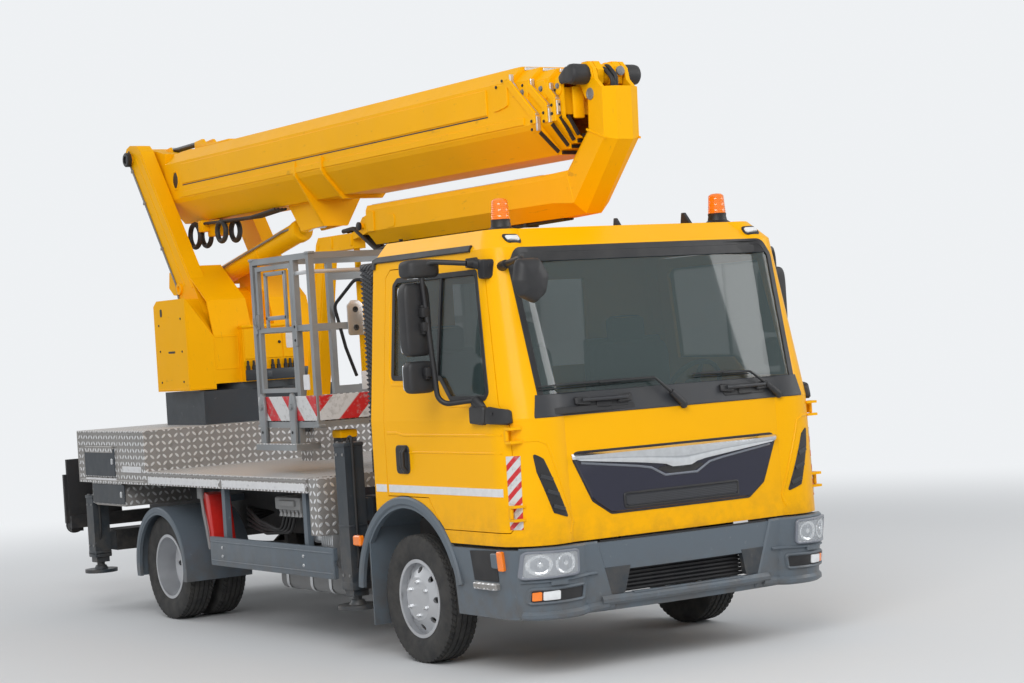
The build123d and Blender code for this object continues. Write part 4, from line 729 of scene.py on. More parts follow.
def relief(face, outline, lift=0.006, edge=0.003, rows=14, columns=18, under=0.004, crown=0.0):
    """Raised panel inside an outline of (u, v) that each level of v crosses once: rows at rising v, columns
    from the left to the right crossing. Rims are drawn in by edge, and the middle bulges by crown as a
    parabola both ways."""
    outline = np.asarray(outline, float)
    start = outline
    end = np.roll(outline, -1, 0)
    low, high = outline[:, 1].min(), outline[:, 1].max()
    span = high - low
    levels = low + span * (1 - np.cos(np.linspace(0, math.pi, rows))) / 2
    levels = np.concatenate([[low], levels * (1 - 2 * edge / span) + (low + high) * edge / span, [high]])
    seen = np.clip(levels, low + 1e-6, high - 1e-6)[:, None]
    rise = end[:, 1] - start[:, 1]
    share = (seen - start[:, 1]) / np.where(np.abs(rise) < 1e-9, 1e9, rise)
    crossing = start[:, 0] + share * (end[:, 0] - start[:, 0])
    valid = (share >= 0) & (share <= 1) & (np.abs(rise) > 1e-9)
    left = np.where(valid, crossing, 1e9).min(axis=1, keepdims=True)
    right = np.where(valid, crossing, -1e9).max(axis=1, keepdims=True)
    across = np.linspace(0, 1, columns)
    inner_left = left + np.minimum(edge, (right - left) * 0.3)
    inner_right = right - np.minimum(edge, (right - left) * 0.3)
    middle = inner_left + (inner_right - inner_left) * across
    u = np.concatenate([left, left, middle, right, right], axis=1)
    rim = np.full(len(levels), lift)
    rim[[0, -1]] = lift - edge
    along = (levels - low) / span
    dome = crown * (4 * along * (1 - along))[:, None] * 4 * across * (1 - across)
    top = rim[:, None] + dome
    foot = np.full((len(levels), 1), -under)
    shoulder = np.full((len(levels), 1), lift - edge)
    heights = np.concatenate([foot, shoulder, top, shoulder, foot], axis=1)
    return face(u, np.broadcast_to(levels[:, None], u.shape), heights), False, True


def pod(low, high, power=0.4, rows=20, columns=32):
    """Housing with soft corners: a superellipsoid, cosines and sines of two angles raised to a power."""
    low, high = np.sort(np.array([low, high], float), axis=0)
    half = (high - low) / 2

    def bulge(value):
        return np.sign(value) * np.abs(value) ** power

    up = np.linspace(-math.pi / 2, math.pi / 2, rows)[:, None]
    turn = turns(columns)
    ring = bulge(np.cos(up))
    points = np.stack([
        half[0] * ring * bulge(np.cos(turn)), half[1] * ring * bulge(np.sin(turn)),
        half[2] * bulge(np.sin(up)) * np.ones_like(turn)], axis=-1)
    return points + (low + high) / 2, False, True


def bolts(points, axis, way, size=0.012, length=0.009):
    """Six-sided bolt heads with a washer, standing on points, their length along an axis."""
    profile = [
        (0, size * 1.35), (0.002, size * 1.35), (0.002, size), (length, size), (length + 0.001, size * 0.8),
        (length + 0.001, 0.0002)]
    return [spun(profile, point, axis, 6, way) for point in points]


def pipe(points, corner, step, radius, sides=12):
    """Round pipe along a route: its corners rounded, with evenly spaced points between them."""
    return tube(finer(rounded(points, corner), step), radius, sides)


# Wheels


def tread_tyre(x, y, side):
    """Tyre carcass turned about the axle, with its tread blocks: the radius drops in grooves round the tread
    and in slanted cuts across its shoulders."""
    half = TYRE_WIDTH / 2
    flank = [
        (-0.076, RIM_RADIUS + 0.004), (-0.082, FLANGE_RADIUS + 0.004), (-0.094, 0.262), (-0.1005, 0.285),
        (-half, 0.309), (-half + 0.0005, 0.33), (-half + 0.003, 0.349), (-half + 0.009, 0.364)]
    across = np.linspace(-half + 0.014, half - 0.014, 45)
    crown = TYRE_RADIUS - 0.006 * (across / half) ** 2
    profile = np.array(flank + list(zip(across, crown)) + [(-a, r) for a, r in reversed(flank)])
    blocks = 60
    turn = turns(4 * blocks)
    share = turn * blocks / (2 * math.pi)
    offset = profile[:, :1] * np.ones_like(turn)
    radius = profile[:, 1:] * np.ones_like(turn)
    on_tread = radius > TYRE_RADIUS - 0.008
    groove = np.minimum.reduce([
        np.abs(offset - place) for place in (-0.055, -0.019, 0.019, 0.055)]) < 0.0042
    slant = (share + offset * 18) % 1.0
    shoulder = (np.abs(offset) > 0.058) & (slant < 0.26)
    sipe = (np.abs(offset) <= 0.058) & ((share - offset * 30) % 1.0 < 0.13)
    depth = np.where(groove, 0.011, np.where(shoulder, 0.009, np.where(sipe, 0.004, 0.0)))
    radius = radius - np.where(on_tread, depth, 0.0)
    wave = np.sin(turn * 2 * blocks) * 0.0008 * np.exp(-((radius - 0.352) / 0.006) ** 2)
    offset = offset + np.sign(offset) * wave
    points = np.stack([
        x + side * offset, y + radius * np.cos(turn), TYRE_RADIUS + radius * np.sin(turn)], axis=-1)
    return points, True, True


def nuts(x, y, side, circle, length):
    """Ring of six-sided wheel nuts with round tops."""
    out = []
    count = 6
    size = 0.014
    for turn in range(count):
        angle = 2 * math.pi * (turn + 0.5) / count
        centre = (x, y + circle * math.cos(angle), TYRE_RADIUS + circle * math.sin(angle))
        out.append(spun([
            (0, size), (length * 0.6, size), (length * 0.6, size * 0.7), (length, size * 0.55),
            (length, 0.0005)], centre, "x", 6, side))
    return out


for hand, side in SIDES:
    build(
        f"front_tread_{hand}", [tread_tyre(side * FRONT_TYRE_X, FRONT_AXLE_Y, side)], RUBBER,
        f"front_wheel_{hand}", smooth=TREAD_SMOOTH, replaces=[f"front_tyre_{hand}"])
    build(
        f"rear_treads_{hand}",
        [
            tread_tyre(side * place, REAR_AXLE_Y, side)
            for place in (REAR_OUTER_X, REAR_OUTER_X - TWIN_SPACING)], RUBBER, f"rear_wheels_{hand}",
        smooth=TREAD_SMOOTH, replaces=[f"rear_tyres_{hand}"])
    build(f"front_nuts_{hand}", nuts(
        side * (FRONT_TYRE_X + 0.092), FRONT_AXLE_Y, side, 0.1, 0.022), BRIGHT_ALLOY,
        f"front_wheel_{hand}")
    build(f"rear_nuts_{hand}", nuts(
        side * (REAR_OUTER_X - 0.106), REAR_AXLE_Y, side, 0.088, 0.03), BRIGHT_ALLOY,
        f"rear_wheels_{hand}")


# Cab: front trim, lamps, wipers, handles, marker tape

FRONT = front_face(CAB_LEVELS)
BUMPER_FRONT = front_face(BUMPER_LEVELS)
FLANKS = {"right": side_face(-1, CAB_LEVELS), "left": side_face(1, CAB_LEVELS)}
BUMPER_FLANKS = {"right": side_face(-1, BUMPER_LEVELS), "left": side_face(1, BUMPER_LEVELS)}
GRILLE_OUTLINE = rounded_loop(mirrored([(0.495, 0.884), (0.612, 0.963), (0.738, 1.232)]), 0.03)
SCREEN_OUTLINE = mirrored([(0.9, 1.475), (0.93, 2.3), (0.88, 2.385)])


build(
    "grille_panel", [relief(FRONT, GRILLE_OUTLINE, 0.009, 0.006, 16, 34)], NAVY_GLOSS,
    replaces=["front_trim"])
# Black band round the grille panel: painted shadow of a gap around it, which the cab's surface doesn't have
build("grille_shadow_gap", [band(
    FRONT, finer([*GRILLE_OUTLINE, GRILLE_OUTLINE[0]], 0.06)[:-1], 0.02, 0.003, 0.001, True)], GASKET)
WING = mirrored([
    (0.0, 1.094), (0.055, 1.096), (0.13, 1.126), (0.3, 1.147), (0.715, 1.19), (0.735, 1.2), (0.737, 1.228)])
build("grille_wing", [relief(FRONT, WING, 0.024, 0.012, 16, 60, crown=0.014)], CHROME)
build("grille_crease", [band(FRONT, finer([
    (-0.68, 1.176), (-0.3, 1.128), (-0.21, 1.112), (-0.115, 1.062), (0.115, 1.062), (0.21, 1.112),
    (0.3, 1.128), (0.68, 1.176)], 0.06), 0.013, 0.016, 0.005)], TRIM_GREY)
build("grille_slot", [relief(FRONT, mirrored(
    [(0.08, 1.068), (0.17, 1.098), (0.14, 1.112), (0.07, 1.086)]), 0.012, 0.002, 8, 24)], GASKET)
build("grille_mesh", [relief(
    FRONT, mirrored([(0.385, 0.912), (0.4, 0.925), (0.4, 0.972)]), 0.014, 0.003, 8, 30)], GRILLE_MESH)
build("grille_mesh_rim", [band(
    FRONT, finer(rectangle(-0.408, 0.408, 0.904, 0.982, 0.012), 0.06), 0.014, 0.017, 0.005, True)], PLASTIC)

# Panel under the screen, screen surround, visor band
build("screen_panel", [relief(
    FRONT, mirrored([(0.957, 1.446), (0.96, 1.455), (0.935, 1.572)]), 0.007, 0.004, 10, 40)], CLADDING)
build("screen_gasket", [band(
    FRONT, finer(rounded_loop(SCREEN_OUTLINE, 0.05), 0.08), 0.036, 0.004, 0.002, True)], GASKET)
build("screen_band", [relief(
    FRONT, mirrored([(0.925, 2.318), (0.9, 2.362), (0.87, 2.388)]), 0.003, 0.001, 8, 40, 0.008)], GASKET)

# Columns: pivot, elbow and tip of each wiper, as (x, z)
WIPERS = (
    ((0.05, 1.452), (-0.138, 1.612), (-0.915, 1.606)), ((0.779, 1.462), (0.568, 1.604), (0.151, 1.612)))
for number, (pivot, elbow, tip) in enumerate(WIPERS):
    reach = np.array(tip) - np.array(elbow)
    rest = np.array(elbow) + reach * 0.48
    arm = np.array([pivot, *[
        np.array(pivot) + (np.array(elbow) - pivot) * share for share in (0.3, 0.45, 0.8, 1)], rest])
    lifts = np.array([0.022, 0.03, 0.034, 0.04, 0.042, 0.034])
    route = rounded(FRONT(arm[:, 0], arm[:, 1], lifts), 0.03)
    blade = np.array(elbow) + reach * np.linspace(-0.02, 1, 14)[:, None]
    spine = FRONT(blade[:, 0], blade[:, 1] + 0.006, 0.024)
    edge = FRONT(blade[:, 0], blade[:, 1] - 0.008, 0.013)
    build(f"wiper_{number}", [
        tube(route, np.interp(
            np.linspace(0, 1, len(route)), [0, 0.25, 0.3, 1], [0.019, 0.017, 0.009, 0.006])),
        tube(spine, np.interp(np.linspace(-1, 1, 14), [-1, 0, 1], [0.004, 0.009, 0.004]), 8),
        tube(edge, 0.0035, 6),
        spun([
            (0, 0.024), (0.012, 0.024), (0.02, 0.018), (0.022, 0.0005)], FRONT(*pivot, 0.012), "y", 24,
            -1)], PLASTIC)

# Grab handles in their recesses under the screen
for number, (first, last, z) in enumerate(((-0.675, -0.311, 1.506), (0.347, 0.702, 1.511))):
    middle = (first + last) / 2
    build(f"grab_recess_{number}", [
        relief(FRONT, rounded_loop([
            (first + 0.02, z - 0.032), (last - 0.02, z - 0.032), (last, z + 0.03), (first, z + 0.03)],
            0.018), 0.012, 0.004),
        relief(FRONT, rounded_loop([
            (first - 0.008, z - 0.008), (first + 0.09, z - 0.016), (first + 0.09, z + 0.034),
            (first - 0.008, z + 0.036)], 0.01), 0.03, 0.008),
        relief(FRONT, rounded_loop([
            (last - 0.09, z - 0.016), (last + 0.008, z - 0.008), (last + 0.008, z + 0.036),
            (last - 0.09, z + 0.034)], 0.01), 0.03, 0.008)], PLASTIC)
    across = np.linspace(first + 0.03, last - 0.03, 16)
    build(f"grab_bar_{number}", [tube(
        FRONT(across, z + 0.012 + 0 * across, 0.034 + 0 * across), 0.011, 12)], CLADDING)
    build(f"grab_latch_{number}", [relief(FRONT, rectangle(
        middle - 0.05, middle + 0.05, z - 0.03, z + 0.004, 0.008), 0.02, 0.004)], GASKET)

# Slanted vents beside the grille, with cross bars, and the yellow corner flutes around them
VENT = [(0.79, 0.885), (0.893, 0.918), (0.972, 1.15), (0.985, 1.255), (0.93, 1.225)]
for hand, side in SIDES:
    build(f"corner_vent_{hand}", [relief(FRONT, handed(VENT, side, 0.008), 0.004, 0.002, 18, 10)], GASKET)
    bars = []
    for z in (0.945, 1.03, 1.115):
        inner_x = side * np.interp(z, [0.885, 1.225], [0.797, 0.93])
        outer_x = side * np.interp(z, [0.918, 1.15], [0.885, 0.965])
        bars.append(band(FRONT, [(inner_x, z - 0.012), (outer_x, z + 0.012)], 0.024, 0.011, 0.004))
    build(f"corner_vent_bars_{hand}", bars, CLADDING)
    crease = handed([(0.78, 0.8), (0.755, 0.86), (0.9, 1.3), (0.95, 1.325), (1.02, 1.325)], side)
    build(f"corner_crease_{hand}", [band(FRONT, finer(crease, 0.04), 0.014, 0.004, 0.003)], CAB_YELLOW)

CORNER_MARKS = {"right": CORNER_TAPE, "left": CORNER_TAPE_LEFT}
for hand, side in SIDES:
    flank = FLANKS[hand]
    door = f"cab_door_{hand}"
    build(f"corner_tape_{hand}", [relief(flank, [
        (-3.187, 0.838), (-3.121, 0.838), (-3.116, 1.245), (-3.185, 1.245)], 0.0025, 0.001, 14, 10)],
        CORNER_MARKS[hand])
    build(f"door_tape_{hand}", [relief(
        flank, corners(-3.088, -1.845, 1.02, 1.065), 0.0015, 0.0006, 4, 30)], WHITE_TAPE, door)
    build(f"pillar_tape_{hand}", [relief(
        flank, corners(-1.815, -1.69, 1.02, 1.065), 0.0015, 0.0006, 4, 6)], WHITE_TAPE)
    # Pressed lines of the door: two belt lines, the panel behind the window
    pressed = [
        band(flank, finer([
            (-3.1, 1.362), (-2.05, 1.362), (-1.97, 1.375), (-1.86, 1.375)], 0.08), 0.016, 0.0035, 0.003),
        band(flank, finer([(-3.095, 1.262), (-2.2, 1.262), (-1.95, 1.25)], 0.08), 0.012, 0.003, 0.0025),
        band(flank, finer([
            (-1.905, 2.24), (-1.885, 2.1), (-1.885, 1.72), (-1.92, 1.66), (-2.42, 1.655), (-2.56, 1.53),
            (-2.95, 1.525)], 0.06), 0.014, 0.004, 0.003)]
    build(f"door_creases_{hand}", pressed, CAB_YELLOW, door)
    build(f"door_gasket_{hand}", [band(flank, finer([*rounded_loop([
        (-1.93, 1.7), (-1.93, 2.25), (-1.97, 2.28), (-2.85, 2.28), (-2.985, 1.6), (-2.96, 1.57),
        (-2.6, 1.57), (-2.48, 1.69)], 0.02)], 0.08), 0.03, 0.004, 0.002, True),
        band(flank, finer([(-2.44, 1.69), (-2.47, 2.28)], 0.1), 0.022, 0.001, 0.0006, under=0.012)], GASKET,
        door)
    # Door handle: recess, pull bar, lock
    build(f"door_handle_{hand}", [
        relief(flank, rectangle(-2.11, -1.957, 1.133, 1.303, 0.03), 0.008, 0.004),
        tube(flank(
            np.array([-2.075, -2.075, -2.072, -2.072, -2.075, -2.075]),
            np.array([1.15, 1.153, 1.175, 1.26, 1.282, 1.285]),
            np.array([0.004, 0.014, 0.03, 0.03, 0.014, 0.004])), 0.015, 10),
        spun([(0, 0.013), (0.004, 0.013), (0.005, 0.0005)], flank(-1.99, 1.17, 0.006), "x", 16, side)],
        PLASTIC, door)
    build(f"drip_rail_{hand}", [band(flank, finer([
        (-2.79, 2.412), (-1.72, 2.412), (-1.69, 2.4), (-1.69, 2.36)], 0.08), 0.034, 0.016, 0.006)], GASKET)
    build(f"clearance_lamp_{hand}", [relief(FRONT, handed([
        (0.82, 2.437), (0.905, 2.44), (0.905, 2.47), (0.82, 2.467)], side, 0.012), 0.014, 0.005)],
        WHITE_LENS)
    build(f"clearance_base_{hand}", [band(FRONT, handed([
        (0.815, 2.432), (0.91, 2.435), (0.91, 2.475), (0.815, 2.472)], side, 0.014), 0.012, 0.008, 0.003,
        True)], GASKET)

# Roof: two low fins, beacons on rubber bases
for number, (x, size) in enumerate(((-0.046, 0.05), (0.479, 0.075))):
    build(f"roof_fin_{number}", [plate(rounded_loop([
        (-2.9, 2.505), (-2.9 + 1.4 * size, 2.505), (-2.9 + 1.2 * size, 2.515 + size * 0.9),
        (-2.9 + 0.9 * size, 2.515 + size * 0.9)], 0.005), (x - 0.012, x + 0.012), "x", 0.006)], PLASTIC)
beacon_glass = []
beacon_feet = []
for side in HANDS:
    foot = (side * 0.79, -2.753, 2.5)
    beacon_feet.append(spun([
        (-0.02, 0.082), (0.018, 0.082), (0.024, 0.074), (0.034, 0.06), (0.06, 0.055), (0.075, 0.057),
        (0.078, 0.05)], foot, "z", 40))
    wave = np.linspace(0, 1, 25)
    ribs = 0.0012 * np.sin(wave * 2 * math.pi * 9)
    lens = [
        (0.07, 0.045), *zip(0.078 + 0.105 * wave, 0.054 - 0.007 * wave + ribs), (0.19, 0.042),
        (0.197, 0.03), (0.2, 0.0005)]
    beacon_glass.append(spun(lens, foot, "z", 48))
    beacon_feet.append(spun([(0.05, 0.02), (0.12, 0.02), (0.15, 0.012), (0.16, 0.0005)], foot, "z", 16))
build("beacon_lenses", beacon_glass, AMBER, replaces=["beacons"])
build("beacon_bases", beacon_feet, GASKET)


# Mirrors: arm, clamps, housings with convex backs to the front, glass to the rear

for hand, side in SIDES:
    door = f"cab_door_{hand}"
    arm = rounded([
        (side * 1.112, -2.885, 1.563), (side * 1.262, -2.72, 1.545), (side * 1.292, -2.66, 2.36),
        (side * 1.09, -2.83, 2.332)], 0.07, 8)
    pods = [
        pod((side * 1.225, -2.652, 1.825), (side * 1.4, -2.556, 2.24), 0.36),
        pod((side * 1.222, -2.652, 1.615), (side * 1.4, -2.564, 1.798), 0.4)]
    if side < 0:
        pods.append(pod((side * 1.17, -2.7, 2.262), (side * 1.385, -2.545, 2.372), 0.5))
    build(f"mirror_housings_{hand}", pods, PLASTIC, door, replaces=[f"mirror_{hand}"])
    glass = [
        relief(flat("y", -2.564, 1), rectangle(side * 1.238, side * 1.388, low, high, 0.02), 0.011, 0.003)
        for low, high in ((1.842, 2.222), (1.63, 1.784))]
    build(f"mirror_glass_{hand}", glass, MIRROR, door)
    clamp_parts = [pipe(arm, 0.01, 0.06, 0.0155, 14)]
    for z in (1.735, 1.99, 2.07):
        clamp_parts.append(block((side * 1.262, -2.7, z - 0.028), (side * 1.318, -2.63, z + 0.028), 0.01))
    for z in (1.706, 1.96, 2.1):
        clamp_parts.append(block(
            (side * 1.268, -2.684, z - 0.012), (side * 1.312, -2.64, z + 0.012), 0.006))
    # Foot on the door, with a joint and a round cap
    clamp_parts.append(tube([
        (side * 1.072, -2.98, 1.49), (side * 1.108, -2.93, 1.525), (side * 1.118, -2.885, 1.563)],
        [0.03, 0.032, 0.026], 14))
    clamp_parts.append(spun(
        [(0, 0.03), (0.016, 0.03), (0.02, 0.024), (0.021, 0.0005)], (side * 1.118, -2.885, 1.55), "x", 24,
        side))
    clamp_parts.append(tube([(side * 1.03, -2.85, 2.33), (side * 1.09, -2.83, 2.332)], [0.034, 0.026], 14))
    build(f"mirror_arm_{hand}", clamp_parts, GASKET, door)
    build(f"mirror_foot_{hand}", [relief(FLANKS[hand], rounded_loop([
        (-2.99, 1.42), (-2.84, 1.43), (-2.83, 1.528), (-2.99, 1.528)], 0.02), 0.03, 0.01)], PLASTIC, door)
    build(f"mirror_base_{hand}", [relief(FLANKS[hand], rounded_loop([
        (-3.165, 1.418), (-3.0, 1.42), (-3.0, 1.526), (-3.15, 1.5)], 0.02), 0.03, 0.01),
        spun(
            [(0, 0.009), (0.004, 0.009), (0.005, 0.0005)], FLANKS[hand](-3.06, 1.48, 0.03), "x", 16, side)],
        PLASTIC)

# Kerb mirror glass, and the front mirror on its arm
build("kerb_glass", [relief(
    flat("z", 2.268, -1), rectangle(-1.35, -1.205, -2.67, -2.58, 0.035), 0.006, 0.002)], MIRROR,
    "cab_door_right")
FRONT_MIRROR = [
    (-1.125, 2.32), (-0.985, 2.325), (-0.93, 2.225), (-0.955, 2.125), (-1.02, 2.075), (-1.12, 2.12),
    (-1.15, 2.2)]
shell = np.array(rounded_loop(FRONT_MIRROR, 0.03, 6))
centre = shell.mean(axis=0)
shrink = np.array([
    (0.0, 0.94), (0.012, 1.0), (0.035, 0.985), (0.058, 0.9), (0.074, 0.7), (0.082, 0.35), (0.083, 0.01)])
outline = centre + (shell - centre) * shrink[:, 1:2, None]
depth = np.broadcast_to(-3.372 - shrink[:, :1], outline.shape[:2])
build(
    "front_mirror_shell", [(np.stack([outline[..., 0], depth, outline[..., 1]], -1), False, True)], PLASTIC,
    smooth=SHELL_SMOOTH, replaces=["front_mirror"])
build("front_mirror_glass", [relief(
    flat("y", -3.374, 1), centre + (shell - centre) * 0.86, 0.005, 0.002, 16, 16)], MIRROR)
build("front_mirror_arm", [
    pipe([
        (-0.955, -2.965, 2.29), (-0.99, -3.12, 2.315), (-1.03, -3.3, 2.33), (-1.04, -3.39, 2.24)], 0.06,
        0.06, 0.017), tube([(-0.95, -2.94, 2.285), (-0.985, -3.08, 2.31)], [0.04, 0.024], 14),
    block((-1.08, -2.99, 2.235), (-0.94, -2.92, 2.345), 0.018),
    tube([(-1.075, -2.9, 2.325), (-1.02, -2.97, 2.3)], [0.028, 0.035], 14)], GASKET)


# Bumper: corner units with lamps, middle opening with its bars, lip, steps, arch lips


def dish(face, centre, profile):
    """Round form on a face: rings of (radius, lift) around a centre (u, v) on it."""
    profile = np.asarray(profile, float)
    turn = turns(40)
    points = face(
        centre[0] + profile[:, :1] * np.cos(turn), centre[1] + profile[:, :1] * np.sin(turn),
        profile[:, 1:] * np.ones_like(turn))
    return points, False, True


# Outer faces of the flanks: wheel arches, deck, locker lids, low lockers, guard boards
ARCH_X = 1.12
DECK_X = 1.15
LID_X = 1.1515
LOW_LOCKER_X = 1.14
GUARD_X = 1.129
# Columns: radius, lift
REFLECTOR = [
    (0.058, 0.008), (0.058, 0.021), (0.052, 0.023), (0.047, 0.018), (0.03, 0.011), (0.015, 0.009),
    (0.013, 0.019), (0.006, 0.022), (0.0005, 0.0225)]
LAMP_OUTLINE = [(0.79, 0.582), (1.072, 0.572), (1.066, 0.716), (0.795, 0.713)]
FOG_OUTLINE = [(0.745, 0.435), (1.045, 0.43), (1.04, 0.51), (0.735, 0.515)]
# Columns: axle, radius of the arch, its angles, width of the lip
ARCHES = ((FRONT_AXLE_Y, 0.588, arc(4, 168, 60), 0.052), (REAR_AXLE_Y, 0.418, arc(2, 178, 50), 0.034))
for hand, side in SIDES:
    outer = BUMPER_FLANKS[hand]
    build(f"bumper_corner_{hand}", [
        relief(BUMPER_FRONT, handed([
            (0.5, 0.345), (1.07, 0.345), (1.085, 0.43), (1.085, 0.735), (0.62, 0.735)], side), 0.012, 0.01,
            18, 26),
        band(BUMPER_FRONT, finer(handed([(0.63, 0.56), (1.07, 0.55)], side), 0.05), 0.02, 0.026, 0.012),
        band(BUMPER_FRONT, finer(
            handed([(0.56, 0.375), (0.75, 0.36), (1.06, 0.36)], side), 0.05), 0.05, 0.03, 0.016),
        relief(BUMPER_FRONT, handed(
            [(0.86, 0.532), (0.95, 0.53), (0.95, 0.555), (0.86, 0.556)], side, 0.004), 0.028, 0.002, 6, 8)],
        GUARD_GREY)
    build(f"headlamp_housing_{hand}", [
        relief(BUMPER_FRONT, handed(LAMP_OUTLINE, side, 0.014), 0.016, 0.003, 10, 20),
        band(BUMPER_FRONT, finer(handed(LAMP_OUTLINE, side, 0.018), 0.05), 0.014, 0.03, 0.004, True)],
        TRIM_GREY, replaces=["headlamps"] if side < 0 else ())
    build(f"headlamp_reflectors_{hand}", [
        dish(BUMPER_FRONT, (side * x, 0.645), REFLECTOR) for x in (0.87, 1.0)], CHROME)
    build(f"headlamp_lens_{hand}", [relief(
        BUMPER_FRONT, handed(LAMP_OUTLINE, side, 0.014), 0.026, 0.004, 10, 20, crown=0.006)], LAMP_GLASS)
    build(f"fog_recess_{hand}", [relief(
        BUMPER_FRONT, handed(FOG_OUTLINE, side, 0.012), 0.0145, 0.002, 8, 18)], GASKET)
    build(f"fog_rim_{hand}", [band(
        BUMPER_FRONT, finer(handed(FOG_OUTLINE, side, 0.016), 0.05), 0.018, 0.026, 0.008, True)],
        GUARD_GREY)
    build(f"fog_lamp_{hand}", [relief(BUMPER_FRONT, handed(
        [(0.9, 0.448), (0.985, 0.446), (0.985, 0.497), (0.9, 0.5)], side, 0.008), 0.024, 0.004, 8, 12,
        crown=0.004)], WHITE_LENS)
    build(f"turn_lamp_{hand}", [relief(BUMPER_FRONT, handed([
        (0.99, 0.446), (1.03, 0.445), (1.03, 0.496), (0.99, 0.497)], side, 0.006), 0.025, 0.004, 8, 8)],
        AMBER)
    # Black sheet over the step behind the corner, painted shade of its recess; the step's tread, the side
    # lamp on its bracket
    build(f"step_recess_shadow_{hand}", [relief(outer, [
        (-3.0, 0.545), (-2.745, 0.545), (-2.73, 0.715), (-3.0, 0.722)], 0.004, 0.002, 8, 10)], GASKET)
    build(f"step_tread_{hand}", [relief(
        outer, rectangle(-3.0, -2.76, 0.5, 0.538, 0.008), 0.03, 0.006)], PLATE)
    build(f"side_lamp_{hand}", [relief(
        outer, rectangle(-3.078, -3.03, 0.61, 0.72, 0.008), 0.022, 0.005)], AMBER)
    build(f"side_lamp_bracket_{hand}", [relief(
        outer, rectangle(-3.035, -2.975, 0.625, 0.71, 0.01), 0.028, 0.006)], GUARD_GREY)
    # Arch lips and the fender lamp
    arch_wall = wall(side, ARCH_X)
    lips = []
    for axle, radius, turn, width in ARCHES:
        path = np.stack([axle + radius * np.cos(turn), TYRE_RADIUS + radius * np.sin(turn)], axis=-1)
        lips.append(band(arch_wall, path, width, 0.012 if axle < 0 else 0.004, 0.01, under=0.02))
    build(f"arch_lips_{hand}", lips, GUARD_GREY)
    build(f"fender_lamp_{hand}", [relief(
        arch_wall, rectangle(-1.49, -1.4, 0.68, 0.745, 0.012), 0.026, 0.008)], AMBER)

build("bumper_panels", [
    relief(BUMPER_FRONT, handed(
        [(0.435, 0.43), (0.57, 0.42), (0.6, 0.58), (0.4, 0.58)], side), 0.003, 0.002, 8, 10, under=0.03)
    for side in HANDS], SLATE_PAINT, "truck", "guard_paint")
bars = [tube([(-0.45, -3.2, z), (0.45, -3.2, z)], 0.011, 8) for z in np.linspace(0.438, 0.552, 6)]
bars.append(block((-0.46, -3.16, 0.42), (0.46, -3.14, 0.57), 0.004))
build("bumper_bars", bars, GASKET)
across = np.linspace(-0.6, 0.6, 24)
build("bumper_lip", [
    band(BUMPER_FRONT, np.stack([across, 0.398 + 0 * across], axis=-1), 0.055, 0.034, 0.018),
    band(BUMPER_FRONT, np.stack([across[4:-4], 0.425 + 0 * across[4:-4]], axis=-1), 0.012, 0.024, 0.003)],
    GUARD_GREY)
build("bumper_seam", [band(
    BUMPER_FRONT, np.stack([across, 0.732 + 0 * across], axis=-1), 0.008, 0.002, 0.001)], GASKET)

# Deck and rear box: edge strips, folded rims, locker fronts, latches; guard boards and tank straps.
# Columns: y from, y to, z from, z to
EDGE_STRIPS = (
    (-0.82, 0.4, 1.0, 1.048), (0.46, 1.64, 1.0, 1.048), (1.76, 2.1, 1.075, 1.12),
    (2.23, 2.82, 0.994, 1.024))
# Columns: y of the first rivet and the last, their height
RIVET_ROWS = ((-0.8, 0.38, 1.024), (0.48, 1.62, 1.024), (1.78, 2.08, 1.097))
for hand, side in SIDES:
    edge_wall = wall(side, DECK_X)
    build(f"edge_strips_{hand}", [
        relief(edge_wall, rectangle(*extent), 0.004, 0.0015, 4, 20) for extent in EDGE_STRIPS], WHITE_TAPE)
    rivets = [(side * 1.154, y, z) for low, high, z in RIVET_ROWS for y in np.linspace(low, high, 4)]
    build(f"edge_rivets_{hand}", bolts(rivets, "x", side, 0.005, 0.003), BRIGHT_ALLOY)
    build(f"plate_folds_{hand}", [
        band(edge_wall, [(-0.838, 1.074), (1.675, 1.074)], 0.02, 0.005, 0.003),
        band(
            edge_wall, [(1.69, 1.37), (2.945, 1.37), (2.945, 1.0), (1.695, 1.0)], 0.026, 0.005, 0.003, True),
        band(edge_wall, [(2.165, 1.01), (2.165, 1.36)], 0.02, 0.004, 0.003),
        block((side * 1.0, -0.985, 0.72), (side * 1.148, -0.862, 1.084), 0.004)], PLATE)
    lid = wall(side, LID_X)
    build(f"locker_front_{hand}", [relief(
        lid, rectangle(2.236, 2.818, 1.04, 1.248, 0.012), 0.006, 0.003)], SLATE_PAINT, f"locker_lid_{hand}")
    build(f"locker_latches_{hand}", [relief(
        lid, rectangle(2.262, 2.292, 1.13, 1.175, 0.008), 0.014, 0.004)], BRIGHT_ALLOY,
        f"locker_lid_{hand}")
    lower = wall(side, LOW_LOCKER_X)
    build(f"low_locker_{hand}", [relief(
        lower, rectangle(2.115, 2.722, 0.83, 0.978, 0.012), 0.005, 0.003)], SLATE_PAINT)
    build(f"low_latch_{hand}", [relief(
        lower, rectangle(2.15, 2.18, 0.88, 0.925, 0.008), 0.014, 0.004)], BRIGHT_ALLOY)
    build(f"guard_board_{hand}", [
        plate(rectangle(-1.1, 0.695, 0.45, 0.65, 0.012), (side * 1.1, side * GUARD_X), "x", 0.006),
        *[band(wall(side, GUARD_X), [(-1.09, z), (0.685, z)], 0.01, 0.003, 0.002) for z in (0.615, 0.485)]],
        GUARD_GREY)
    build(f"guard_bolts_{hand}", bolts([
        (side * GUARD_X, y, z) for y in (-0.7, 0.5) for z in (0.52, 0.58)], "x", side, 0.009, 0.006),
        BRIGHT_ALLOY)
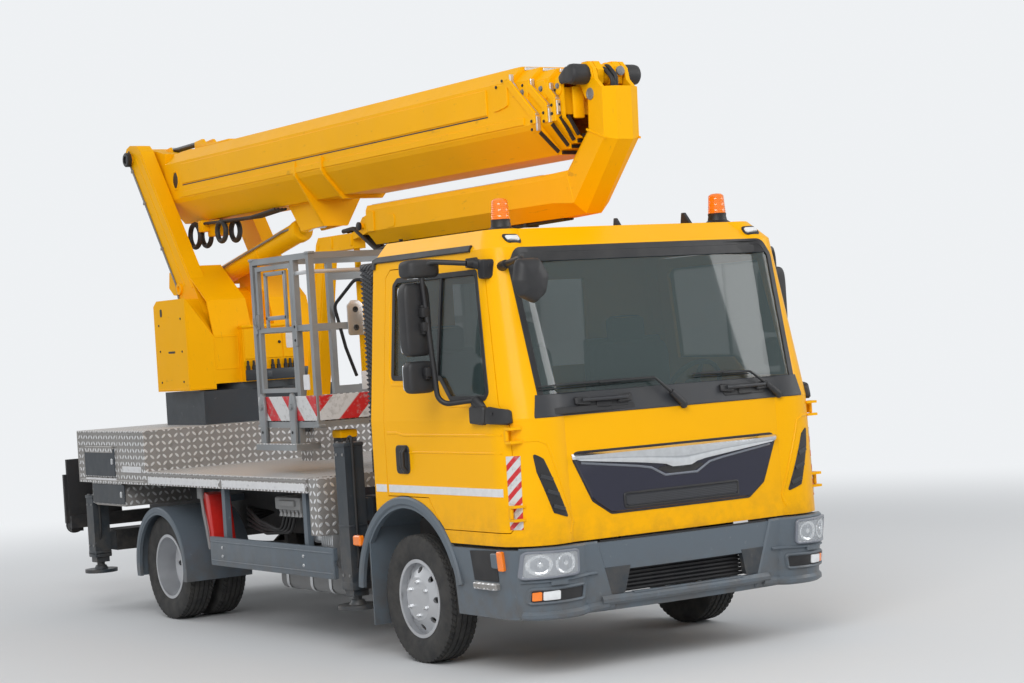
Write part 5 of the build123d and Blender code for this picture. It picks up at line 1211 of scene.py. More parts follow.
# Columns: places along y, outline around the tank
TANK_STRAPS = (
    ((-0.62, -0.36, -0.02), rectangle(-0.905, -0.42, 0.295, 0.565, 0.06, 6)),
    ((-0.8, -0.4), rectangle(0.965, 0.42, 0.325, 0.725, 0.06, 6)))
straps = []
for places, loop in TANK_STRAPS:
    for y in places:
        rings = [
            np.stack([loop[:, 0], np.full(len(loop), y + shift), loop[:, 1]], -1)
            for shift in (-0.018, 0.018)]
        straps.append((np.stack(rings).transpose(1, 0, 2), True, False))
build("tank_straps", straps, BRIGHT_ALLOY)
build("tank_caps", [spun([
    (0, 0.045), (0.02, 0.045), (0.026, 0.038), (0.027, 0.0005)], (0.96, -0.3, 0.62), "x", 30),
    block((-0.93, -0.2, 0.44), (-0.9, 0.02, 0.55), 0.008)], GASKET)


# Crane: boom seams, mouths with wear pads, elbow, hoses, tower, cover, valves

ELBOW_Y = -2.75
ELBOW_Z = 3.42
BOOM_HALF = 0.3
BOOM_STEP = 0.028
BOOM_TOP = 3.54
BOOM_FLOOR = 2.975
EAR_X = 0.128
COVER_X = -0.65
ARM_OUTER = 0.43
BOOM_PIVOT = (3.23, 3.53)
TOWER_PIN = (2.45, 2.44)
BOOM_BODIES = ("boom_base", "boom_second", "boom_third", "boom_fourth")
# Slanted mouths as in the CAD source. Columns: y above, height where the slant starts, y below, its end
MOUTHS = (
    (ELBOW_Y + 0.55, 3.44, ELBOW_Y + 0.29, 3.21), (ELBOW_Y + 0.37, 3.39, ELBOW_Y + 0.2, 3.25),
    (ELBOW_Y + 0.21, 3.345, ELBOW_Y + 0.15, 3.29), (ELBOW_Y + 0.11, 3.33, ELBOW_Y + 0.11, 3.29))


for number, (upper_y, slant_high, lower_y, slant_low) in enumerate(MOUTHS):
    half = BOOM_HALF - BOOM_STEP * number
    body = BOOM_BODIES[number]
    top = BOOM_TOP - BOOM_STEP * number
    low_x = 0.15 - 0.35 * BOOM_STEP * number
    floor_z = BOOM_FLOOR + BOOM_STEP * number
    rims = []
    bright = []
    dark = []
    for side in HANDS:
        skin = wall(side, half)
        edge = [
            (upper_y + 0.03, top - 0.08), (upper_y + 0.03, slant_high + 0.012),
            (lower_y + 0.03, slant_low + 0.012), (lower_y + 0.03, 3.165)]
        if number < 3:
            rims.append(band(skin, edge, 0.05, 0.011, 0.004))
            inner, outer = sorted((side * (half + 0.002), side * (half - 0.024)))
            rims.append(relief(skin, rounded_loop([
                (upper_y + 0.03, 3.3), (upper_y + 0.2, 3.28), (upper_y + 0.2, top - 0.1),
                (upper_y + 0.03, top - 0.1)], 0.02), 0.008, 0.004))
            run = math.hypot(lower_y - upper_y, slant_low - slant_high)
            slant = sloped(
                (0, upper_y, slant_high), (0, lower_y - upper_y, slant_low - slant_high), (1, 0, 0))
            bright.append(relief(slant, corners(0.004, run - 0.002, inner, outer), 0.008, 0.002, 4, 6))
            bright.append(relief(
                flat("y", lower_y, -1), corners(inner, outer, slant_low - 0.09, slant_low - 0.004), 0.008,
                0.002, 4, 4))
            bright.append(relief(flat("y", upper_y, -1), corners(
                inner, outer, slant_high + 0.004, slant_high + 0.05), 0.008, 0.002, 4, 4))
            pads = sorted((side * 0.05, side * (0.19 - BOOM_STEP * number * 0.4)))
            bright.append(relief(
                flat("y", upper_y, -1), corners(*pads, top - 0.024, top - 0.004), 0.012, 0.002, 4, 8))
        # Near-black pads down the lower facet, then across the bottom: painted shade, as the boom above
        # shades them; dark bolt heads on the side go with them
        front = flat("y", lower_y, -1)
        dark.append(band(front, [
            (side * (half - 0.02), slant_low - 0.1), (side * (low_x + 0.005), floor_z + 0.018)], 0.022,
            0.01, 0.002))
        dark.append(band(front, [
            (side * (low_x - 0.02), floor_z + 0.013), (side * 0.02, floor_z + 0.013)], 0.02, 0.008, 0.002))
        places = (
            (upper_y + 0.07, slant_high + 0.02), (upper_y + 0.14, slant_high - 0.01),
            (lower_y + 0.035, slant_low - 0.03), (lower_y + 0.035, slant_low - 0.08))
        dark += bolts([(side * (half + 0.011), y, z) for y, z in places], "x", side, 0.008, 0.006)
    if rims:
        build(f"mouth_rim_{number}", rims, CRANE_YELLOW, body)
        build(f"mouth_pads_{number}", bright, BRIGHT_ALLOY, body, "steel_grey")
    build(f"mouth_shadow_pads_and_bolts_{number}", dark, GASKET, body)

# Guide lobes with their bolts on the skins of the inner sections
for number, low_y, high_y in ((1, -2.36, -2.25), (2, -2.52, -2.41), (3, -2.63, -2.57)):
    wall_x = BOOM_HALF - BOOM_STEP * number
    lobes = []
    heads = []
    for side in HANDS:
        lobes.append(relief(wall(side, wall_x), rounded_loop([
            (low_y, 3.35), (low_y + 0.03, 3.3), (high_y, 3.33), (high_y, 3.42), (low_y + 0.01, 3.42)],
            0.022), 0.012, 0.006))
        heads += bolts([(side * (wall_x + 0.012), (low_y + high_y) / 2, 3.37)], "x", side, 0.014, 0.01)
    build(f"guide_lobes_{number}", lobes, CRANE_YELLOW, BOOM_BODIES[number])
    build(f"guide_bolts_{number}", heads, CAST_GREY, BOOM_BODIES[number])

# Section 1: laid-on side plates with a groove between them, a black line in the groove as painted shadow
# under the upper plate, hatch, tensioner on top
side_plates = []
groove_shadow_lines = []
hatches = []
for side in HANDS:
    skin = wall(side, BOOM_HALF)
    side_plates.append(relief(skin, corners(-1.93, 2.56, 3.272, 3.43), 0.008, 0.004, 6, 40))
    side_plates.append(relief(skin, corners(-2.33, 2.62, 3.168, 3.212), 0.007, 0.003, 4, 40))
    side_plates.append(band(skin, rounded_loop([
        (2.63, 3.29), (2.66, 3.24), (2.71, 3.24), (2.74, 3.29), (2.74, 3.33), (2.71, 3.38), (2.66, 3.38),
        (2.63, 3.33)], 0.01), 0.014, 0.006, 0.003, True))
    # Black line at the upper plate's lower edge: a seam, darkened as painted shadow under the plate's overlap
    groove_shadow_lines.append(band(skin, [(-1.93, 3.262), (2.56, 3.262)], 0.008, 0.0012, 0.0006))
    hatches.append(relief(skin, rounded_loop([
        (2.64, 3.29), (2.665, 3.25), (2.705, 3.25), (2.73, 3.29), (2.73, 3.33), (2.705, 3.37),
        (2.665, 3.37), (2.64, 3.33)], 0.008), 0.002, 0.0008, 8, 8))
build("boom_side_plates", side_plates, CRANE_YELLOW, "boom_base")
build("boom_shadow_lines_and_hatches", groove_shadow_lines + hatches, GASKET, "boom_base")
build("tensioner_sleeve", [
    tube([(-0.12, 3.06, 3.582), (-0.12, 2.6, 3.59)], 0.021, 16)], GASKET, "boom_base")
build("tensioner_eyes", [
    spun([(-0.02, 0.0005), (-0.02, 0.026), (0.02, 0.026), (0.02, 0.0005)], (-0.12, y, 3.585), "x", 24)
    for y in (3.08, 2.58)], CHROME, "boom_base", "rod_chrome")
build(
    "tensioner_blocks",
    [
        plate(rounded_loop([
            (2.2, 3.53), (2.56, 3.53), (2.56, 3.6), (2.42, 3.61), (2.38, 3.575), (2.2, 3.565)], 0.01),
            (x - 0.012, x + 0.012), "x", 0.003) for x in (-0.165, -0.075)]
    + [block((-0.2, 1.9, 3.535), (0.12, 2.3, 3.556), 0.006), plate(rounded_loop(
        [(3.0, 3.55), (3.14, 3.55), (3.14, 3.6), (3.04, 3.61)], 0.01), (-0.165, -0.15), "x")], CRANE_YELLOW,
    "boom_base")
build("boom_top_weld", [
    band(flat("z", BOOM_TOP, 1), [(side * 0.19, -2.16), (side * 0.19, 2.7)], 0.012, 0.004, 0.003)
    for side in HANDS], CRANE_YELLOW, "boom_base")

# Elbow: pin caps, link eyes with a nut, ear rims, side disc, lever, hoses
build(
    "elbow_caps",
    [
        spun([
            (0, 0.06), (0.085, 0.062), (0.108, 0.058), (0.118, 0.046), (0.12, 0.0005)],
            (side * 0.129, ELBOW_Y, ELBOW_Z), "x", 40, side) for side in HANDS]
    + [plate(rounded_loop([
        (ELBOW_Y - 0.02, 3.365), (ELBOW_Y + 0.11, 3.375), (ELBOW_Y + 0.12, 3.42), (ELBOW_Y + 0.03, 3.48)],
        0.02), (-0.245, -0.2), "x", 0.01)], PLASTIC, "jib")
ring = [(-0.02, 0.0005), (-0.02, 0.066), (-0.014, 0.071), (0.014, 0.071), (0.02, 0.066), (0.02, 0.0005)]
build(
    "link_eyes", [spun(ring, (x, ELBOW_Y, ELBOW_Z), "x", 36) for x in (-0.062, 0.03, 0.072)]
    + [block((0.035, ELBOW_Y - 0.085, ELBOW_Z - 0.02), (0.088, ELBOW_Y - 0.02, ELBOW_Z + 0.045), 0.012)],
    CRANE_YELLOW, "boom_fourth")
build("link_nut", [spun([
    (0, 0.028), (0.012, 0.028), (0.016, 0.02), (0.017, 0.0005)], (0.062, ELBOW_Y - 0.084, ELBOW_Z + 0.012),
    "y", 24, -1)], CAST_GREY, "boom_fourth")
# Columns: distance of the jib's wall from the middle, path on it
JIB_FOLDS = ((0.1265, [(-2.725, 3.097), (-2.91, 3.028)]), (0.126, [(-2.49, 2.86), (-2.545, 2.68)]))
build(
    "ear_rims",
    [
        band(wall(side, EAR_X), rounded_loop([
            (ELBOW_Y + 0.06, 3.39), (ELBOW_Y + 0.058, 3.45), (ELBOW_Y + 0.026, 3.48),
            (ELBOW_Y - 0.026, 3.48), (ELBOW_Y - 0.06, 3.445), (ELBOW_Y - 0.075, 3.39)], 0.012), 0.014,
            0.006, 0.003) for side in HANDS]
    + [band(wall(side, x), path, 0.014, 0.004, 0.003) for x, path in JIB_FOLDS for side in HANDS],
    CRANE_YELLOW, "jib")
build("elbow_discs", [
    spun([
        (0, 0.036), (0.006, 0.034), (0.008, 0.026), (0.004, 0.02), (0.006, 0.0005)],
        (side * 0.127, -2.786, 3.3), "x", 30, side) for side in HANDS], CAST_GREY, "jib")
build(
    "mouth_lever", [block((-0.175, -2.685, 3.17), (-0.1, -2.66, 3.36), 0.01)], CRANE_YELLOW, "boom_fourth")
for number, (x, rise) in enumerate(((-0.028, 0.0), (0.0, 0.015), (-0.014, -0.012))):
    route = [
        (x, -2.53, 3.33 + rise), (x, -2.65, 3.42 + rise), (x, -2.8, 3.455 + rise), (x, -2.88, 3.38 + rise),
        (x, -2.87, 3.29)]
    hose = build(f"elbow_hose_{number}", [pipe(route, 0.05, 0.02, 0.0125)], HOSE, None)
    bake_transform(hose)

# Jib: light strips along the top edges, end plates, pipes beneath
build("jib_strips", [
    band(flat("z", 2.875, 1), [(side * 0.1, -2.2), (side * 0.1, -0.08)], 0.014, 0.004, 0.002)
    for side in HANDS], BRIGHT_ALLOY, "jib", "steel_grey")
build(
    "jib_cover",
    [relief(wall(side, 0.1275), rectangle(-0.42, -0.3, 2.7, 2.79, 0.03), 0.005, 0.003) for side in HANDS]
    + [
        relief(wall(side, 0.1275), rectangle(-0.14, -0.04, 2.69, 2.83, 0.01), 0.008, 0.003)
        for side in HANDS], CRANE_YELLOW, "jib")
build(
    "jib_pipes",
    [
        pipe([(x, -2.3, 2.6), (x, -1.6, 2.592), (x, -0.3, 2.592), (x, -0.02, 2.62)], 0.05, 0.2, 0.009, 10)
        for x in (-0.03, 0.0, 0.03)]
    + [block((-0.05, y, 2.578), (0.05, y + 0.03, 2.607), 0.004) for y in (-1.9, -1.2, -0.5)], HOSE, "jib")
sleeve = build("level_hoses", [
    pipe([
        (x, -0.2, 2.59 + 0.01 * k), (x, -0.02, 2.56), (x, 0.16, 2.66), (x, 0.3, 2.74), (x, 0.46, 2.73)],
        0.09, 0.03, 0.016) for k, x in enumerate((-0.045, -0.01, 0.03))], HOSE, None)
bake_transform(sleeve)

# Hose guard rings and valve blocks under the boom's rear
turn = turns(32)
rings = [
    tube(np.stack([
        np.full(32, x), y + radius * np.cos(turn), 2.86 + radius * np.sin(turn)], -1), 0.02, 12, True)
    for x, y, radius in ((-0.2, 2.6, 0.09), (-0.12, 2.56, 0.085), (-0.2, 2.12, 0.075), (-0.1, 2.08, 0.075))]
build("hose_rings", rings, HOSE, "boom_base")
build("ring_hoses", [
    pipe([
        (x, 2.54, 2.94), (x, 2.4, 2.945), (x, 2.2, 2.94), (x, 1.6, 2.93), (x, 1.2, 2.955)], 0.06, 0.08,
        0.011, 10) for x in (-0.2, -0.17, -0.14, -0.11)], HOSE, "boom_base")
build("ring_blocks", [
    block((-0.16, 2.26, 2.84), (-0.04, 2.46, 2.965), 0.01),
    block((-0.22, 2.42, 2.88), (-0.14, 2.5, 2.97), 0.008)], CRANE_YELLOW, "boom_base")

# Tower: fold lines, pipes behind the arms, pin caps, base strip, valve chest with glands, cover marks
folds = [band(wall(side, ARM_OUTER), [(2.36, 2.46), (3.13, 3.52)], 0.012, 0.004, 0.003) for side in HANDS]
folds += [band(wall(side, ARM_OUTER), [(2.22, 2.44), (3.05, 3.545)], 0.016, 0.006, 0.004) for side in HANDS]
folds += [
    spun([
        (0, 0.046), (0.014, 0.046), (0.014, 0.022), (0.004, 0.022), (0.004, 0.0005)],
        (side * ARM_OUTER, *TOWER_PIN), "x", 30, side) for side in HANDS]
folds += [band(flat("y", 1.9, -1), rectangle(-0.425, -0.23, 1.8, 2.045, 0.01), 0.01, 0.003, 0.002, True)]
build("tower_folds", folds, CRANE_YELLOW, "turntable")
build(
    "tower_pipes",
    [
        pipe([
            (side * 0.437, 2.47, 2.36), (side * 0.437, 2.5, 2.47), (side * 0.437, 3.285, 3.545),
            (side * 0.437, 3.25, 3.6)], 0.05, 0.1, 0.0075, 10) for side in HANDS]
    + [
        block((side * 0.43, y - 0.012, z - 0.012), (side * 0.449, y + 0.012, z + 0.012), 0.003)
        for side in HANDS for y, z in ((2.72, 2.772), (3.0, 3.155), (3.2, 3.43))], CAST_GREY, "turntable")
build("pivot_caps", [
    spun([
        (0, 0.058), (0.03, 0.058), (0.036, 0.05), (0.036, 0.03), (0.026, 0.03), (0.026, 0.0005)],
        (side * (ARM_OUTER + 0.018), *BOOM_PIVOT), "x", 36, side) for side in HANDS], GASKET, "turntable")
build(
    "base_strip",
    [
        block((-0.216, 1.812, 1.696), (0.432, 1.832, 1.779), 0.006),
        block((-0.1, 1.802, 1.71), (0.0, 1.815, 1.765), 0.004)]
    + [block((side * 0.428, 1.905, 1.697), (side * 0.436, 2.725, 1.778), 0.003) for side in HANDS],
    SLATE_PAINT, "turntable")
chest = flat("y", 1.845, -1)
build(
    "valve_chest",
    [
        relief(chest, rectangle(low, high, 1.86, 2.095, 0.008), 0.006, 0.003, 8, 10)
        for low, high in ((-0.205, -0.05), (-0.042, 0.115), (0.123, 0.272))]
    + [block((-0.222, 1.832, 2.1), (0.288, 1.91, 2.122), 0.006)], CRANE_YELLOW, "turntable")
glands = []
for x in (-0.19, -0.14, -0.06, 0.02, 0.07, 0.13, 0.17, 0.21, 0.25):
    glands.append(spun([
        (0, 0.016), (0.03, 0.016), (0.034, 0.011), (0.07, 0.009), (0.072, 0.0005)], (x, 1.83, 1.779), "z",
        16))
glands += bolts([(-0.072, 1.839, 1.98), (0.092, 1.839, 1.98), (0.25, 1.839, 1.98)], "y", -1, 0.01, 0.012)
build("cable_glands", glands, GASKET, "turntable")
build("blank_plate", [relief(
    chest, rectangle(0.15, 0.22, 1.93, 2.05, 0.006), 0.008, 0.001, 4, 4)], WHITE_TAPE, "turntable")
cover = flat("x", COVER_X, -1)
corner_bolts = ((2.0, (1.72, 1.95, 2.2)), (2.4, (1.72, 1.96, 2.16)))
marks = bolts([(COVER_X, y, z) for y, heights in corner_bolts for z in heights], "x", -1, 0.007, 0.004)
marks += [
    relief(cover, rectangle(2.13, 2.25, 1.94, 1.956, 0.006), 0.002, 0.001, 4, 8),
    relief(cover, rectangle(2.33, 2.365, 2.225, 2.285, 0.014), 0.003, 0.001, 6, 6)]
build("cover_marks", marks, GASKET, "turntable")
build("cover_folds", [band(flat("y", 1.9, -1), [(-0.64, 1.662), (-0.44, 1.662)], 0.01, 0.003, 0.002), *[
    band(cover, path, 0.01, 0.003, 0.002)
    for path in ([(1.91, 1.662), (2.475, 1.662)], [(1.912, 1.67), (1.912, 2.34)])]], CRANE_YELLOW,
    "turntable")

# Lift cylinder: gland, seams, fittings and pipe
LIFT_START = np.array([0.0, 2.7, 2.5])
LIFT_END = np.array([0.0, 0.93, 2.84])
lift_way = (LIFT_END - LIFT_START) / np.linalg.norm(LIFT_END - LIFT_START)
gland = [LIFT_START + lift_way * distance for distance in (1.5, 1.505, 1.56, 1.575, 1.58)]
build(
    "lift_gland", [tube(gland, [0.07, 0.086, 0.086, 0.08, 0.05], 32)]
    + [
        tube([LIFT_START + lift_way * distance for distance in (at, at + 0.03)], 0.082, 28)
        for at in (0.14, 0.9)], CRANE_YELLOW, "lift_barrel")
beside = np.array([-0.088, 0.0, 0.03])
route = [
    LIFT_START + lift_way * distance + beside * share
    for distance, share in ((0.2, 0.7), (0.3, 1), (1.4, 1), (1.5, 0.8))]
clip = LIFT_START + lift_way * 0.2 + beside
build("lift_pipe", [
    pipe(route, 0.03, 0.15, 0.008, 10), block(clip - 0.025, clip + 0.025, 0.006)], CAST_GREY, "lift_barrel")


# Basket: kickboards, second rail, hinge plate, hooks, step, hoses, console controls

BASKET_HALF = 0.9
BASKET_FRONT_Y = -0.59
BASKET_REAR_Y = 0.27
CARRIER_X = 0.05
LEVEL_PIN = (0.08, 2.74)
basket_side = wall(-1, BASKET_HALF)
basket_front = flat("y", BASKET_FRONT_Y, -1)
basket_rear = flat("y", BASKET_REAR_Y, 1)
build("kickboards_side", [
    relief(wall(side, BASKET_HALF), rectangle(-0.575, 0.255, 1.436, 1.6, 0.006), 0.004, 0.002, 6, 16)
    for side in HANDS], KICK_TAPE, "basket")
build("kickboards_across", [
    relief(basket_front, rectangle(-0.885, 0.885, 1.436, 1.6, 0.006), 0.004, 0.002, 6, 30),
    relief(basket_rear, rectangle(-0.885, -0.32, 1.436, 1.55, 0.006), 0.004, 0.002, 6, 12),
    relief(basket_rear, rectangle(0.32, 0.885, 1.436, 1.55, 0.006), 0.004, 0.002, 6, 12)], KICK_TAPE_REAR,
    "basket")
rails = [block((-0.86, -0.582, 2.4), (0.86, -0.558, 2.425), 0.004)]
rails += [block((side * 0.868, -0.55, 2.4), (side * 0.892, -0.37, 2.425), 0.004) for side in HANDS]
build("basket_rails", rails, BRIGHT_ALLOY, "basket", "basket_alloy")
hooks = []
for y in (-0.27, 0.17):
    hooks.append(plate(rounded_loop([
        (y - 0.035, 1.262), (y + 0.035, 1.262), (y + 0.035, 1.56), (y + 0.01, 1.63), (y - 0.03, 1.61),
        (y - 0.045, 1.52)], 0.022), (-0.928, -0.906), "x", 0.004))
    hooks.append(block((-0.935, y - 0.05, 1.255), (-0.77, y + 0.05, 1.264), 0.003))
    hooks.append(spun(
        [(0, 0.02), (0.01, 0.02), (0.012, 0.014), (0.012, 0.0005)], (-0.928, y, 1.53), "x", 20, -1))
hooks.append(relief(basket_side, rectangle(-0.38, -0.344, 1.93, 2.1, 0.01), 0.012, 0.004, 6, 6))
for side in HANDS:
    for y in (-0.57, 0.25):
        hooks.append(block((side * 0.852, y - 0.028, 2.528), (side * 0.908, y + 0.028, 2.546), 0.006))
        hooks.append(block((side * 0.85, y - 0.03, 1.39), (side * 0.906, y + 0.03, 1.412), 0.006))
build("basket_hooks", hooks, ALLOY, "basket")
build("hook_holes", bolts([
    (-0.912, -0.362, 1.97), (-0.912, -0.362, 2.06), (-0.928, -0.27, 1.36), (-0.928, 0.17, 1.36)], "x", -1,
    0.008, 0.004), GASKET, "basket")
build("basket_step_tread", [relief(
    flat("z", 1.28, 1), rectangle(-0.937, -0.763, -0.337, 0.257, 0.006), 0.004, 0.002, 8, 8)], PLATE,
    "basket")
build("gate_latch", [block((-0.912, 0.165, 2.06), (-0.895, 0.2, 2.16), 0.006), tube([
    (-0.915, 0.18, 2.08), (-0.94, 0.18, 2.1), (-0.94, 0.18, 2.14)], 0.006, 10)], CAST_GREY, "gate")
build(
    "gate_inner_frame",
    [block((-0.89, y - 0.014, 2.12), (-0.87, y + 0.014, 2.44), 0.004) for y in (-0.2, 0.08)]
    + [block((-0.89, -0.21, z - 0.014), (-0.87, 0.09, z + 0.014), 0.004) for z in (2.13, 2.43)]
    + [block((-0.89, y - 0.012, 2.05), (-0.87, y + 0.012, 2.12), 0.004) for y in (-0.2, 0.08)], ALLOY,
    "gate")
build("basket_hose", [pipe([
    (0.12, -0.42, 2.3), (0.0, -0.3, 2.2), (-0.25, -0.05, 2.38), (-0.3, 0.2, 2.2), (-0.2, 0.25, 1.9),
    (-0.1, 0.3, 1.7)], 0.08, 0.04, 0.012),
    pipe([
        (0.16, -0.42, 2.3), (0.3, -0.2, 1.75), (0.2, 0.1, 1.62), (0.05, 0.28, 1.66)], 0.08, 0.04, 0.009,
        10)], HOSE, "basket")
build("basket_notes", [relief(
    basket_side, rectangle(-0.5, -0.42, 1.64, 1.74, 0.004), 0.002, 0.001, 4, 4),
    block((-0.56, -0.6, 1.62), (-0.44, -0.592, 1.74), 0.002)], WHITE_TAPE, "basket")
console_top = flat("z", 2.52, 1)
build("console_panel", [
    relief(console_top, rectangle(-0.18, 0.18, -0.54, -0.41, 0.01), 0.01, 0.004),
    relief(flat("y", -0.4, 1), rectangle(-0.17, 0.17, 2.3, 2.5, 0.012), 0.006, 0.003),
    relief(flat("y", -0.55, -1), rectangle(-0.18, 0.18, 2.3, 2.5, 0.012), 0.006, 0.003)], CLADDING,
    "basket")
build("hinge_eye_plate", [plate(rounded_loop([
    (-0.64, 1.98), (-0.52, 1.98), (-0.52, 2.18), (-0.55, 2.21), (-0.61, 2.21), (-0.64, 2.18)], 0.02),
    (-0.603, -0.592), "y", 0.004)], BRIGHT_ALLOY, "basket", "basket_alloy")
build("hinge_eye_holes", [
    spun([(0, 0.02), (0.003, 0.02), (0.003, 0.014), (-0.002, 0.0005)], (-0.58, -0.603, z), "y", 24, -1)
    for z in (2.03, 2.15)], GASKET, "basket")
levers = [
    tube([
        (x, -0.47, 2.525), (x, -0.47, 2.56), (x, -0.47, 2.59), (x, -0.47, 2.61)],
        [0.016, 0.008, 0.01, 0.015], 16) for x in (-0.12, -0.04, 0.04)]
build("console_levers", levers, GASKET, "basket")
build("console_knob", [spun([
    (0, 0.016), (0.012, 0.016), (0.014, 0.026), (0.026, 0.026), (0.03, 0.02), (0.031, 0.0005)],
    (0.13, -0.47, 2.528), "z", 24)], RED_LENS, "basket")
build(
    "carrier_flanges",
    [
        band(wall(side, CARRIER_X), path, 0.014, 0.006, 0.003)
        for path in ([(0.77, 2.58), (1.04, 1.5)], [(0.845, 2.66), (1.19, 1.43)]) for side in HANDS]
    + [
        spun([
            (0, 0.062), (0.012, 0.062), (0.016, 0.05), (0.016, 0.0005)], (side * CARRIER_X, *LEVEL_PIN),
            "x", 32, side) for side in HANDS]
    + [block((-0.058, y, 2.62), (0.058, y + 0.03, 2.7), 0.006) for y in (0.33, 0.62)], CRANE_YELLOW,
    "carrier")
build("level_caps", [
    spun(
        [(0, 0.03), (0.012, 0.03), (0.016, 0.022), (0.016, 0.0005)], (side * 0.125, *LEVEL_PIN), "x", 24,
        side) for side in HANDS], GASKET, "carrier")
build("rest_pad", [
    block((-0.098, 1.05, 1.352), (0.098, 1.25, 1.378), 0.01),
    block((-0.104, 1.07, 1.3), (-0.09, 1.23, 1.345), 0.004)], GASKET)
build("deck_box", [
    block((-0.7, -0.52, 1.086), (-0.58, -0.4, 1.31), 0.012),
    block((-0.69, -0.526, 1.2), (-0.6, -0.518, 1.24), 0.004)], GASKET)
build("deck_box_lid", [block((-0.705, -0.525, 1.305), (-0.575, -0.395, 1.36), 0.014)], CRANE_YELLOW)

# Air intake: ribbed stack with slanted slats, cap and foot
slats = [
    band(flat("x", -1.038, -1), [(-1.665, z), (-1.53, z + 0.06)], 0.012, 0.01, 0.004)
    for z in np.arange(1.3, 2.33, 0.028)]
slats += [
    band(flat("y", -1.676, -1), [(-1.03, z), (-0.95, z)], 0.012, 0.008, 0.003)
    for z in np.arange(1.3, 2.36, 0.028)]
build("intake_slats", slats, CLADDING)
build("intake_stack", [
    block((-1.038, -1.674, 1.12), (-0.945, -1.524, 2.375), 0.014),
    block((-1.046, -1.684, 2.36), (-0.938, -1.514, 2.405), 0.018),
    block((-1.044, -1.68, 1.12), (-0.94, -1.518, 1.27), 0.012)], INTAKE_SLATS, replaces=["air_intake"])

# Outriggers: top caps, fittings, hose along each leg, jack necks.
# Columns: place, y right, y left, top of the leg, foot of the leg, height of the beam
OUTRIGGERS = (("front", -1.3, -1.42, 1.3, 0.4, 0.89), ("rear", 2.81, 2.93, 0.87, 0.4, 0.52))
for place, right_y, left_y, top, low, beam in OUTRIGGERS:
    for (hand, side), y in zip(SIDES, (right_y, left_y)):
        x = side * 1.08
        leg = f"outrigger_{place}_{hand}"
        build(f"leg_cap_{place}_{hand}", [
            block((x - 0.072, y - 0.07, top - 0.012), (x + 0.072, y + 0.07, top + 0.014), 0.008),
            block((x - 0.068, y - 0.069, beam - 0.1), (x + 0.068, y + 0.069, beam - 0.085), 0.005),
            block((x - 0.068, y - 0.069, low), (x + 0.068, y + 0.069, low + 0.05), 0.006)], SLATE_PAINT,
            leg)
        build(
            f"leg_bolts_{place}_{hand}",
            bolts([
                (x + dx, y + dy, top + 0.014) for dx in (-0.05, 0.05) for dy in (-0.048, 0.048)], "z", 1,
                0.009, 0.007)
            + bolts([
                (x + side * 0.066, y + dy, z) for dy in (-0.04, 0.04) for z in (low + 0.09, top - 0.06)],
                "x", side, 0.008, 0.005), CAST_GREY, leg)
        build(f"leg_hose_{place}_{hand}", [pipe([
            (x - 0.02, y - 0.04, top + 0.01), (x - 0.02, y - 0.045, top + 0.07),
            (x - 0.02, y - 0.085, top + 0.04), (x - 0.02, y - 0.085, low + 0.2),
            (x - 0.02, y - 0.06, low + 0.14)], 0.022, 0.05, 0.009, 10),
            tube([(x - 0.02, y - 0.04, top + 0.005), (x - 0.02, y - 0.04, top + 0.03)], 0.014, 6)], HOSE,
            leg)
        build(f"jack_neck_{place}_{hand}", [spun([
            (-0.006, 0.124), (0.004, 0.126), (0.01, 0.118), (0.014, 0.06), (0.03, 0.05), (0.045, 0.042),
            (0.05, 0.036)], (x, y, 0.287), "z", 36)], SLATE_PAINT, f"jack_{place}_{hand}")


# Cab inside: seats, dash, steering wheel, floor


SEAT_POWER = 0.32


def cushion(low, high, seams, thin):
    """Stuffed form: a superellipsoid whose thin sides pull in between its corners, with channels pressed
    into it at places across x. thin is the number of the axis that it is thinnest along."""
    points, wrap_rows, wrap_columns = pod(low, high, SEAT_POWER, 30, 72)
    centre = (np.asarray(low, float) + high) / 2
    half = np.abs(np.asarray(high, float) - low) / 2
    share = (points - centre) / half
    wide = 1 if thin == 2 else 2
    points[..., wide] -= 0.012 * np.sign(share[..., wide]) * np.abs(share[..., wide]) ** 3 * (
        1 - share[..., 0] ** 2)
    for seam in seams:
        pressed = np.exp(-((points[..., 0] - seam) / 0.011) ** 2) * 0.016
        points[..., thin] -= pressed * share[..., thin]
    return points, wrap_rows, wrap_columns


def cord(low, high, thin=2):
    """Sewn cord around the middle of a cushion: the superellipse of its widest section."""
    centre = (np.asarray(low, float) + high) / 2
    half = np.abs(np.asarray(high, float) - low) / 2
    turn = turns(72)
    first, second = [axis for axis in range(3) if axis != thin]
    path = np.tile(centre, (72, 1))
    path[:, first] += half[first] * np.sign(np.cos(turn)) * np.abs(np.cos(turn)) ** SEAT_POWER
    path[:, second] += half[second] * np.sign(np.sin(turn)) * np.abs(np.sin(turn)) ** SEAT_POWER
    return tube(path, 0.006, 8, True)


